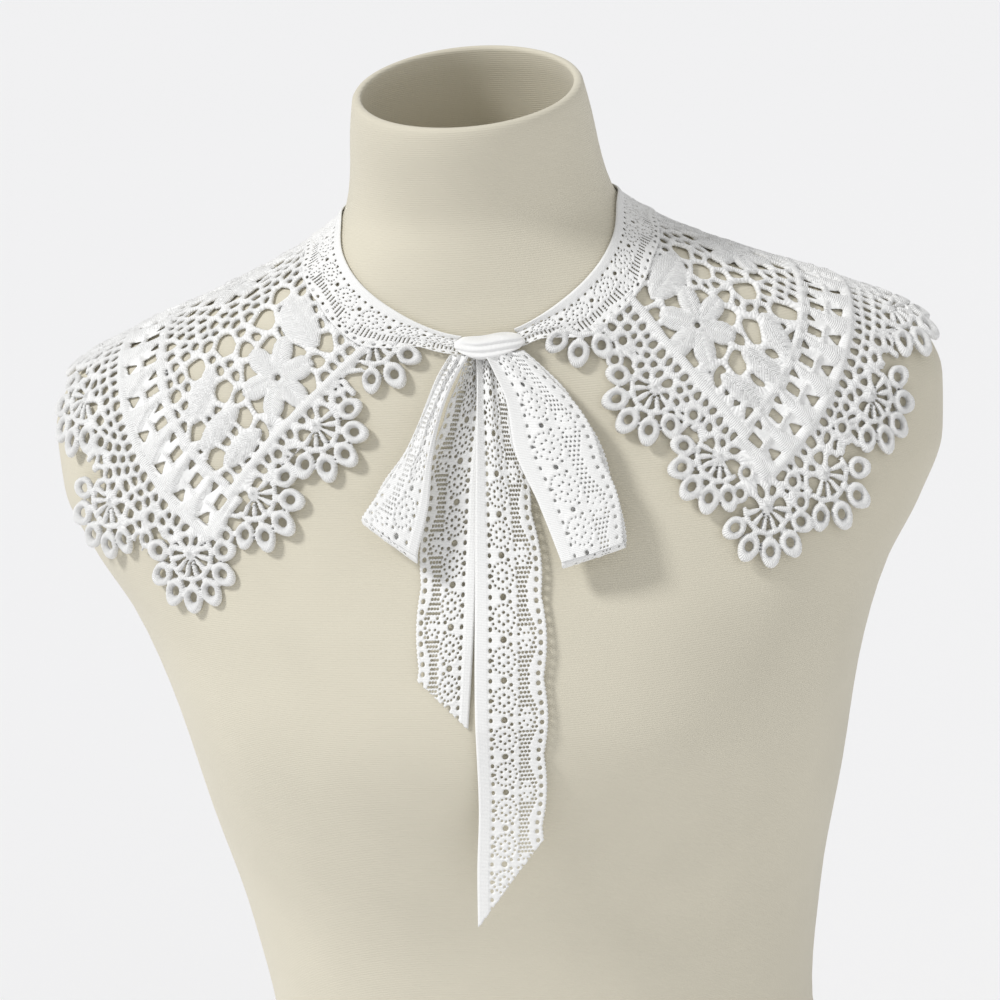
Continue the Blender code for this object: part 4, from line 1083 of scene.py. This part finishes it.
def table_at(table, z):
    rows = np.array(table, float)
    return [column(-rows[:, 0], rows[:, k], -z) for k in (1, 2, 3)]


def make_tail(name, table, width, end, tape_right, pleats, material, shift):
    """Hanging ribbon end: gathered at the knot, cut on a slant."""
    top = table[0][0]

    def share_of(v):
        share = v / width
        return 1 - share if tape_right else share

    def place(u, v, lift):
        z = top - u
        left, right, off = table_at(table, z)
        share = share_of(v)
        x = left + (right - left) * share
        fade = np.exp(-u / 34.0)
        fold = fade * 1.5 * np.cos(2 * pi * pleats * share)
        wave = 0.5 * np.sin(u / 17.0 + 2.0 * share) * (1 - fade)
        y = chest_y(x * MM, z * MM) / MM - off - fold - wave - lift * 0.9
        return np.stack([x, y, z], -1) * MM

    def clip(u, v):
        cut = end[0] + (end[1] - end[0]) * share_of(v) + 0.25 * np.sin(v * 2.7)
        return (top - u - cut) * 0.75

    return ribbon_piece(
        name, top - min(end), width, TAIL_STEP, place, material, TAIL_DENSE, clip, shift)


def make_loop(name, table, width, fold, tape_right, material, shift):
    """Bow loop: down behind, round its lower fold and up in front."""
    top, bottom = table[0][0], table[-1][0]
    drop = top - bottom
    turn_length = pi * LOOP_OPENING / 2

    def place(u, v, lift):
        share = v / width
        if tape_right:
            share = 1 - share
        in_front = u > drop + turn_length
        rising = np.clip(u - drop - turn_length, 0, drop)
        level = np.where(in_front, bottom + rising, top - np.clip(u, 0, drop))
        along = (top - level) / drop
        left, right, off = table_at(table, level)
        x = left + (right - left) * share
        z = level - along ** 3 * ((bottom - fold[0]) + (fold[0] - fold[1]) * share)
        opening = LOOP_OPENING * (0.35 + 0.65 * along)
        angle = pi * np.clip((u - drop) / turn_length, 0, 1)
        z = z - opening / 2 * np.sin(angle)
        y = chest_y(x * MM, z * MM) / MM - off
        pleat = np.exp(-(top - level) / 26.0) * 1.1 * np.cos(2 * pi * 2.5 * share)
        belly = 1.6 * np.sin(pi * share) * along
        y = y - opening * (1 - np.cos(angle)) / 2 - (pleat + belly) * np.where(in_front, 1.0, 0.3)
        y = y - lift * np.where(in_front, 1.0, -1.0) * np.abs(np.cos(angle))
        return np.stack([x, y, z - lift * np.sin(angle)], -1) * MM

    return ribbon_piece(
        name, 2 * drop + turn_length, width, LOOP_STEP, place, material, LOOP_DENSE, None, shift)


class NeckBand:
    """Path of the neckband round the neck, and the places across its width."""

    def __init__(self, drape):
        turns = np.arange(0, 125.1, 0.5)
        half = {}
        for side in (-1, 1):
            rows = []
            for share in np.linspace(0, 1, BAND_ROWS + 1):
                radius = NECK_RADIUS + band_width(turns) * share
                x, y = radius * np.sin(np.radians(turns)), radius * np.cos(np.radians(turns))
                rows.append([drape(x, y, np.full(len(x), lift), side) for lift in (0.0, 1.0)])
            half[side] = np.array(rows)
        self.rows = np.concatenate([half[-1][:, :, ::-1][:, :, :-1], half[1]], 2)
        middle = self.rows[4, 0]
        x = middle[:, 0]
        n = len(x) // 2
        start = np.nonzero(x[:n // 2] > BAND_ENDS[0])[0]
        self.first = start.max() + 1 if len(start) else 0
        end = np.nonzero(x[n:] < BAND_ENDS[1])[0]
        end = end[end > 100]
        self.last = n + end.min() if len(end) else len(x) - 1
        steps = np.linalg.norm(np.diff(middle[self.first:self.last + 1], axis=0), axis=1)
        self.lengths = np.concatenate([[0], np.cumsum(steps)]) / MM
        self.length = float(self.lengths[-1])

    def __call__(self, u, v, lift):
        index = np.interp(u, self.lengths, np.arange(self.first, self.last + 1))
        k = np.clip(index.astype(int), 0, self.rows.shape[2] - 2)
        t = (index - k)[:, None]
        share = np.clip(v / BAND_WIDE, -0.05, 1.03) * BAND_ROWS
        j = np.clip(share.astype(int), 0, BAND_ROWS - 1)
        w = (share - j)[:, None]

        def at(kind):
            near, far = (
                self.rows[row, kind, k] * (1 - t) + self.rows[row, kind, k + 1] * t
                for row in (j, j + 1))
            return near * (1 - w) + far * w

        foot = at(0)
        up = unit(at(1) - foot)
        ends = np.minimum(u, self.length - u)
        pleat = 0.5 * np.exp(-ends / 40.0) * np.cos(2 * pi * 2.0 * v / BAND_WIDE)
        rise = 1.1 + 1.5 * np.clip(v / BAND_WIDE, 0, 1) ** 2 + 0.2 * np.sin(u / 23.0) + pleat
        return foot + up * ((rise + lift) * MM)[:, None]


def closed_skin(rows):
    """Places and faces of a closed skin through rings of places, capped at both ends."""
    count, sides = rows.shape[:2]
    ids = np.arange(count * sides).reshape(count, sides)
    beside = np.roll(ids, -1, 1)
    a, b = ids[:-1].ravel(), beside[:-1].ravel()
    faces = [np.stack([a, b, b + sides], 1), np.stack([a, b + sides, a + sides], 1)]
    for k, (end, way) in enumerate(((0, -1), (-1, 1))):
        middle = np.full(sides, count * sides + k)
        faces.append(np.stack([ids[end], beside[end], middle], 1)[:, ::way])
    places = np.concatenate([rows.reshape(-1, 3), rows[:1].mean(1), rows[-1:].mean(1)])
    return places, np.concatenate(faces)


def knot_mesh(material):
    """Knot: the ribbon wrapped once round the gathered band, with soft creases."""
    rows, columns = 44, 60
    places = []
    uv = []
    for i in range(rows + 1):
        up = -1 + 2 * i / rows
        shrink = (1 - abs(up) ** 6) ** 0.25 if abs(up) < 1 else 0.0
        for j in range(columns):
            angle = 2 * pi * j / columns
            across = np.sign(sin(angle)) * abs(sin(angle)) ** 0.55
            front = cos(angle)
            round_off = 0.45 + 0.55 * shrink
            x = KNOT_X + KNOT_HALF * across * (0.9 + 0.08 * cos(2 * pi * up * 0.5)) * round_off
            z = KNOT_LEVEL + (4.3 - 0.9 * across * across) * up
            z += 0.5 * sin(across * 3) + 1.1 * across * across
            crease = 0.42 * cos(2 * pi * up * 1.6 + 0.8 * across)
            crease += 0.22 * cos(6.0 * across + 2.5 * up)
            bulge = (4.6 + crease - 1.4 * across * across) * np.sign(front) * abs(front) ** 0.6
            depth = max(5.6 + bulge * (0.25 + 0.75 * shrink), 0.9)
            y = float(chest_y(x * MM, z * MM)) / MM - depth
            places.append((x * MM, y * MM, z * MM))
            uv.append((across * 16, up * 7))
    places, faces = closed_skin(np.array(places).reshape(rows + 1, columns, 3))
    uv = np.array(uv + [(0, 0)] * 2)[faces]
    return new_mesh("bow_knot", places, faces, uv, material)


# Dress form


def ring_at(levels, shrink=0.0):
    """Closed section of the form, its levels given for each angle."""
    turn = np.radians(np.arange(FORM_SIDES) * 360.0 / FORM_SIDES)
    half, front, back, centre, power = section(levels)
    across, along = np.sin(turn), -np.cos(turn)
    depth = np.where(along < 0, front, back)
    bend = 2 / power
    x = (half - shrink) * np.sign(across) * np.abs(across) ** bend
    y = centre + (depth - shrink) * np.sign(along) * np.abs(along) ** bend
    return np.stack([x, y, levels + 0 * x], -1)


def rim_level(y):
    """Height of the neck's rim, which slopes down to the front."""
    return 0.641 + 0.20 * (y + 0.017)


def form_mesh(material):
    """Torso, neck, sloping rim and hollow of the dress form in one smooth skin."""
    flat = np.ones(FORM_SIDES)
    rows = [ring_at(0.0 * flat, 0.004), ring_at(0.0012 * flat, 0.0012)]
    for z in (*np.arange(0.005, 0.43, 0.012), *np.arange(0.43, 0.592, 0.0035)):
        rows.append(ring_at(z * flat))
    top = rows[-1][:, 2]

    def sloped(share, shrink, drop):
        """Section part of the way to the rim, set in by shrink and under the rim by drop."""
        levels = 0.64 * flat
        for _ in range(4):
            y = ring_at(levels, shrink)[:, 1]
            levels = top + (rim_level(y) - drop - top) * share
        return ring_at(levels, shrink)

    rows += [sloped(share, 0, 0.0016) for share in (0.12, 0.25, 0.4, 0.55, 0.7, 0.82, 0.92)]
    rows += [sloped(1, shrink, drop) for shrink, drop in RIM_ROUND]
    rows += [sloped(share, *RIM_ROUND[-1]) for share in (0.85, 0.6, 0.3, 0.0)]
    base = rows[-1]
    middle = base.mean(0)

    def hollow(size, levels):
        row = middle + (base - middle) * size
        row[:, 2] = levels
        return row

    depth = HOLLOW_FLOOR + 0.001 - base[:, 2]
    rows += [hollow(1 - 0.08 * k / 6, base[:, 2] + depth * k / 6) for k in range(1, 7)]
    for size, lift in ((0.9, 0.0003), (0.6, 0.0), (0.3, 0.0)):
        rows.append(hollow(size * 0.92, HOLLOW_FLOOR + lift))
    return new_mesh("dress_form", *closed_skin(np.array(rows)), None, material)


# Materials


def colour(text):
    """sRGB hex to linear."""
    values = [int(text[k:k + 2], 16) / 255 for k in (1, 3, 5)]
    return [v / 12.92 if v <= 0.04045 else ((v + 0.055) / 1.055) ** 2.4 for v in values] + [1.0]


def node(tree, kind, inputs=None, **settings):
    """Adds a node; inputs are values or (node, output) links."""
    made = tree.nodes.new(kind)
    for key, value in settings.items():
        setattr(made, key, value)
    for key, value in (inputs or {}).items():
        if isinstance(value, tuple) and hasattr(value[0], "outputs"):
            tree.links.new(value[0].outputs[value[1]], made.inputs[key])
        else:
            made.inputs[key].default_value = value
    return made


def new_material(name, base, rough, sheen):
    material = bpy.data.materials.new(name)
    material.use_nodes = True
    shader = material.node_tree.nodes["Principled BSDF"]
    for key, value in (
        ("Base Color", colour(base)), ("Roughness", rough), ("Sheen Weight", sheen),
        ("Sheen Roughness", 0.5), ("Specular IOR Level", 0.3),
    ):
        shader.inputs[key].default_value = value
    return material, material.node_tree, shader


def shaded(tree, shader, factor, base, dark, low, high):
    """Base colour by a factor: darker by a share at low, full at high."""
    shade = node(tree, "ShaderNodeValToRGB", {"Fac": factor})
    ends = shade.color_ramp.elements
    ends[0].color = [c * dark for c in colour(base)[:3]] + [1]
    ends[0].position = low
    ends[1].color = colour(base)
    ends[1].position = high
    tree.links.new(shade.outputs["Color"], shader.inputs["Base Color"])


def bumped(tree, shader, first, second, strength, distance):
    """Relief from the sum of two outputs."""
    both = node(tree, "ShaderNodeMath", {0: first, 1: second}, operation="ADD")
    bump = node(tree, "ShaderNodeBump", {
        "Height": (both, "Value"), "Strength": strength, "Distance": distance})
    tree.links.new(bump.outputs["Normal"], shader.inputs["Normal"])


def cotton_jersey(cover):
    """Unbleached cotton stretched over the form: even fine rows of stitches, matt."""
    material, tree, shader = new_material("cotton_cover", cover, 0.85, 0.15)
    place = (node(tree, "ShaderNodeTexCoord"), "Object")
    rows = node(tree, "ShaderNodeTexWave", {
        "Vector": place, "Scale": 340.0, "Distortion": 1.2, "Detail": 2.0, "Detail Scale": 2.0,
    }, bands_direction="Z")
    grain = node(tree, "ShaderNodeTexNoise", {"Vector": place, "Scale": 900.0, "Detail": 3.0})
    soft = node(tree, "ShaderNodeTexNoise", {"Vector": place, "Scale": 14.0, "Detail": 3.0})
    shaded(tree, shader, (soft, "Fac"), cover, 0.93, 0.3, 0.7)
    bumped(tree, shader, (rows, "Fac"), (grain, "Fac"), 0.25, 0.0003)
    return material


def embroidery_thread(name, base, pitch, strength):
    """White polyester embroidery thread laid side by side: fine ridges across each strand, with
    painted shade darkening the grooves between them.
    """
    material, tree, shader = new_material(name, base, 0.72, 0.25)
    uv = (node(tree, "ShaderNodeUVMap", uv_map="threads"), "UV")
    noise = node(tree, "ShaderNodeTexNoise", {"Vector": uv, "Scale": 1.3, "Detail": 2.0})
    ridge = node(tree, "ShaderNodeTexWave", {
        "Vector": uv, "Scale": 0.314 / pitch, "Distortion": 0.6, "Detail": 1.0,
        "Detail Scale": 1.5,
    }, bands_direction="X")
    # Painted shade: the base colour is darkened by 14% in the grooves between the thread ridges,
    # where the bump is lowest.
    shaded(tree, shader, (ridge, "Fac"), base, 0.86, 0.0, 0.45)
    bumped(tree, shader, (ridge, "Fac"), (noise, "Fac"), strength, 0.00035)
    return material


# Stage: the key is broad and far off, so the floor is lit evenly; the fill softens its shadows.
# Lamps: name, direction it shines from, strength, spread in degrees
LAMPS = (
    ("key", (-1.35, -0.7, 1.6), 1.95, 12.0),
    ("fill", (1.5, -1.7, 0.9), 0.3, 60.0),
)
ROOM_LIGHT = 0.48
# Camera: azimuth, elevation and roll in degrees; focal length in pixels of a 1000-pixel picture
CAMERA_TURNS = (4.2, 16.5, -4.7)
CAMERA_TARGET = (-0.002, 0, 0.4535)
CAMERA_DISTANCE = 1.5
FOCAL_PIXELS = 3418


# Colours and sizes a user would change


class CollarSettings(bpy.types.PropertyGroup):
    thread_colour: bpy.props.StringProperty(
        name="Thread colour", description="Guipure thread, sRGB hex", default="#FBFBFA")
    ribbon_colour: bpy.props.StringProperty(
        name="Ribbon colour", description="Ribbon lace yarn, sRGB hex", default="#FAFAF9")
    cover_colour: bpy.props.StringProperty(
        name="Cover colour", description="Cotton cover of the form, sRGB hex", default="#DAD4C2")
    floor_colour: bpy.props.StringProperty(
        name="Floor colour", description="Studio floor, sRGB hex", default="#F7F7F8")
    thread_pitch: bpy.props.FloatProperty(
        name="Thread pitch", description="Spacing of the guipure's stitches, mm, coarse to show",
        default=0.85, min=0.2, max=3.0)


DRAPE = None


def drape():
    global DRAPE
    if DRAPE is None:
        DRAPE = Drape()
    return DRAPE


class MakeForm(bpy.types.Operator):
    """Cotton-covered torso and neck of the dress form"""
    bl_idname = "collar.form"
    bl_label = "Dress form"

    def execute(self, context):
        settings = context.scene.collar
        piece = form_mesh(cotton_jersey(settings.cover_colour))
        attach(piece, "root")
        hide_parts("form_torso", "form_neck")
        return {"FINISHED"}


class MakeLace(bpy.types.Operator):
    """Both halves of the guipure collar"""
    bl_idname = "collar.guipure"
    bl_label = "Guipure collar"

    def execute(self, context):
        settings = context.scene.collar
        thread = embroidery_thread(
            "guipure_thread", settings.thread_colour, settings.thread_pitch, 0.7)
        for name, side in (("collar_left", -1), ("collar_right", 1)):
            reach, high, *owners = chart_half(side)
            x, y, h, on_node, faces = march(reach, high, CHART_X, CHART_Y, STEP)
            uv = thread_coordinates(x, y, faces, *owners)

            def place(px, py, lift, side=side):
                return drape()(px, py, stand_off(px, py, side) + lift, side)

            skin = both_sides(x, y, h, on_node, faces, place, 0.2, uv)
            piece = new_mesh("guipure_" + name[7:], *skin, thread)
            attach(piece, "root")
            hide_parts(name)
        return {"FINISHED"}


class MakeBand(bpy.types.Operator):
    """Ribbon neckband laid round the neck edge"""
    bl_idname = "collar.neckband"
    bl_label = "Neckband"

    def execute(self, context):
        yarn = embroidery_thread("raschel_band", context.scene.collar.ribbon_colour, *YARN)
        path = NeckBand(drape())
        piece = ribbon_piece(
            "ribbon_neckband", path.length, BAND_WIDE, BAND_STEP, path, yarn, BAND_DENSE)
        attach(piece, "root")
        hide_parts("neckband")
        return {"FINISHED"}


class MakeBow(bpy.types.Operator):
    """Loops, tails and knot of the bow"""
    bl_idname = "collar.bow"
    bl_label = "Bow"

    def execute(self, context):
        yarn = embroidery_thread("raschel_lace", context.scene.collar.ribbon_colour, *YARN)
        pieces = (
            (make_tail("bow_tail_left", TAIL_LEFT, 24.0, (413, 392), True, 2.0, yarn, 5.0),
             "tail_left", (0.024, 0.143), "hung"),
            (make_tail("bow_tail_right", TAIL_RIGHT, 28.0, (305, 344), False, 2.5, yarn, 0.0),
             "tail_right", (0.028, 0.233), "hung"),
            (make_loop("bow_loop_left", LOOP_LEFT, 23.0, (479, 463), True, yarn, 3.0),
             "loop_left", (0.024, 0.154), "folded"),
            (make_loop("bow_loop_right", LOOP_RIGHT, 28.0, (458, 464), False, yarn, 9.0),
             "loop_right", (0.028, 0.180), "folded"),
            (knot_mesh(yarn), "knot", None, None),
        )
        for piece, solid, flat, held in pieces:
            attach(piece, "root")
            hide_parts(solid)
        return {"FINISHED"}


class MakeStage(bpy.types.Operator):
    """Pale floor, soft studio light and the camera"""
    bl_idname = "collar.stage"
    bl_label = "Stage"

    def execute(self, context):
        scene = context.scene
        base = scene.collar.floor_colour
        floor_material, tree, shader = new_material("studio_floor", base, 0.9, 0.0)
        place = (node(tree, "ShaderNodeTexCoord"), "Object")
        soft = node(tree, "ShaderNodeTexNoise", {"Vector": place, "Scale": 0.6})
        shaded(tree, shader, (soft, "Fac"), base, 0.985, 0.0, 1.0)
        corners = np.array([(-30, -12, 0), (30, -12, 0), (30, 40, 0), (-30, 40, 0)], float)
        faces = np.array([(0, 1, 2), (0, 2, 3)])
        new_mesh("floor", corners, faces, None, floor_material)
        scene.world = bpy.data.worlds.new("studio")
        scene.world.use_nodes = True
        background = scene.world.node_tree.nodes["Background"]
        background.inputs["Color"].default_value = (1.0, 1.0, 1.0, 1.0)
        background.inputs["Strength"].default_value = ROOM_LIGHT
        for name, place_at, strength, spread in LAMPS:
            data = bpy.data.lights.new(name, "SUN")
            data.energy = strength
            data.angle = radians(spread)
            lamp = bpy.data.objects.new(name, data)
            lamp.location = place_at
            lamp.rotation_euler = Vector(place_at).to_track_quat("Z", "Y").to_euler()
            scene.collection.objects.link(lamp)
        azimuth, elevation, roll = (radians(turn) for turn in CAMERA_TURNS)
        level = cos(elevation)
        back = Vector((sin(azimuth) * level, -cos(azimuth) * level, sin(elevation)))
        right = Vector((cos(azimuth), sin(azimuth), 0))
        up = back.cross(right)
        turned_right = cos(roll) * right + sin(roll) * up
        turned_up = -sin(roll) * right + cos(roll) * up
        data = bpy.data.cameras.new("camera")
        data.sensor_width = 36
        data.lens = FOCAL_PIXELS / 1000 * 36
        camera = bpy.data.objects.new("camera", data)
        matrix = Matrix((turned_right, turned_up, back)).transposed().to_4x4()
        matrix.translation = Vector(CAMERA_TARGET) + back * CAMERA_DISTANCE
        camera.matrix_world = matrix
        scene.collection.objects.link(camera)
        scene.camera = camera
        scene.view_settings.view_transform = "Standard"
        return {"FINISHED"}


class CollarPanel(bpy.types.Panel):
    bl_idname = "VIEW3D_PT_collar"
    bl_label = "Lace collar"
    bl_space_type = "VIEW_3D"
    bl_region_type = "UI"
    bl_category = "Collar"

    def draw(self, context):
        for operator in OPERATORS:
            self.layout.operator(operator.bl_idname)
        for name in CollarSettings.__annotations__:
            self.layout.prop(context.scene.collar, name)


OPERATORS = (MakeForm, MakeLace, MakeBand, MakeBow, MakeStage)


def register():
    for item in (CollarSettings, *OPERATORS, CollarPanel):
        bpy.utils.register_class(item)
    bpy.types.Scene.collar = bpy.props.PointerProperty(type=CollarSettings)


def unregister():
    del bpy.types.Scene.collar
    for item in (CollarPanel, *reversed(OPERATORS), CollarSettings):
        bpy.utils.unregister_class(item)


def main():
    register()
    bpy.ops.collar.form()
    bpy.ops.collar.guipure()
    bpy.ops.collar.neckband()
    bpy.ops.collar.bow()
    bpy.ops.collar.stage()


if __name__ == "__main__":
    main()
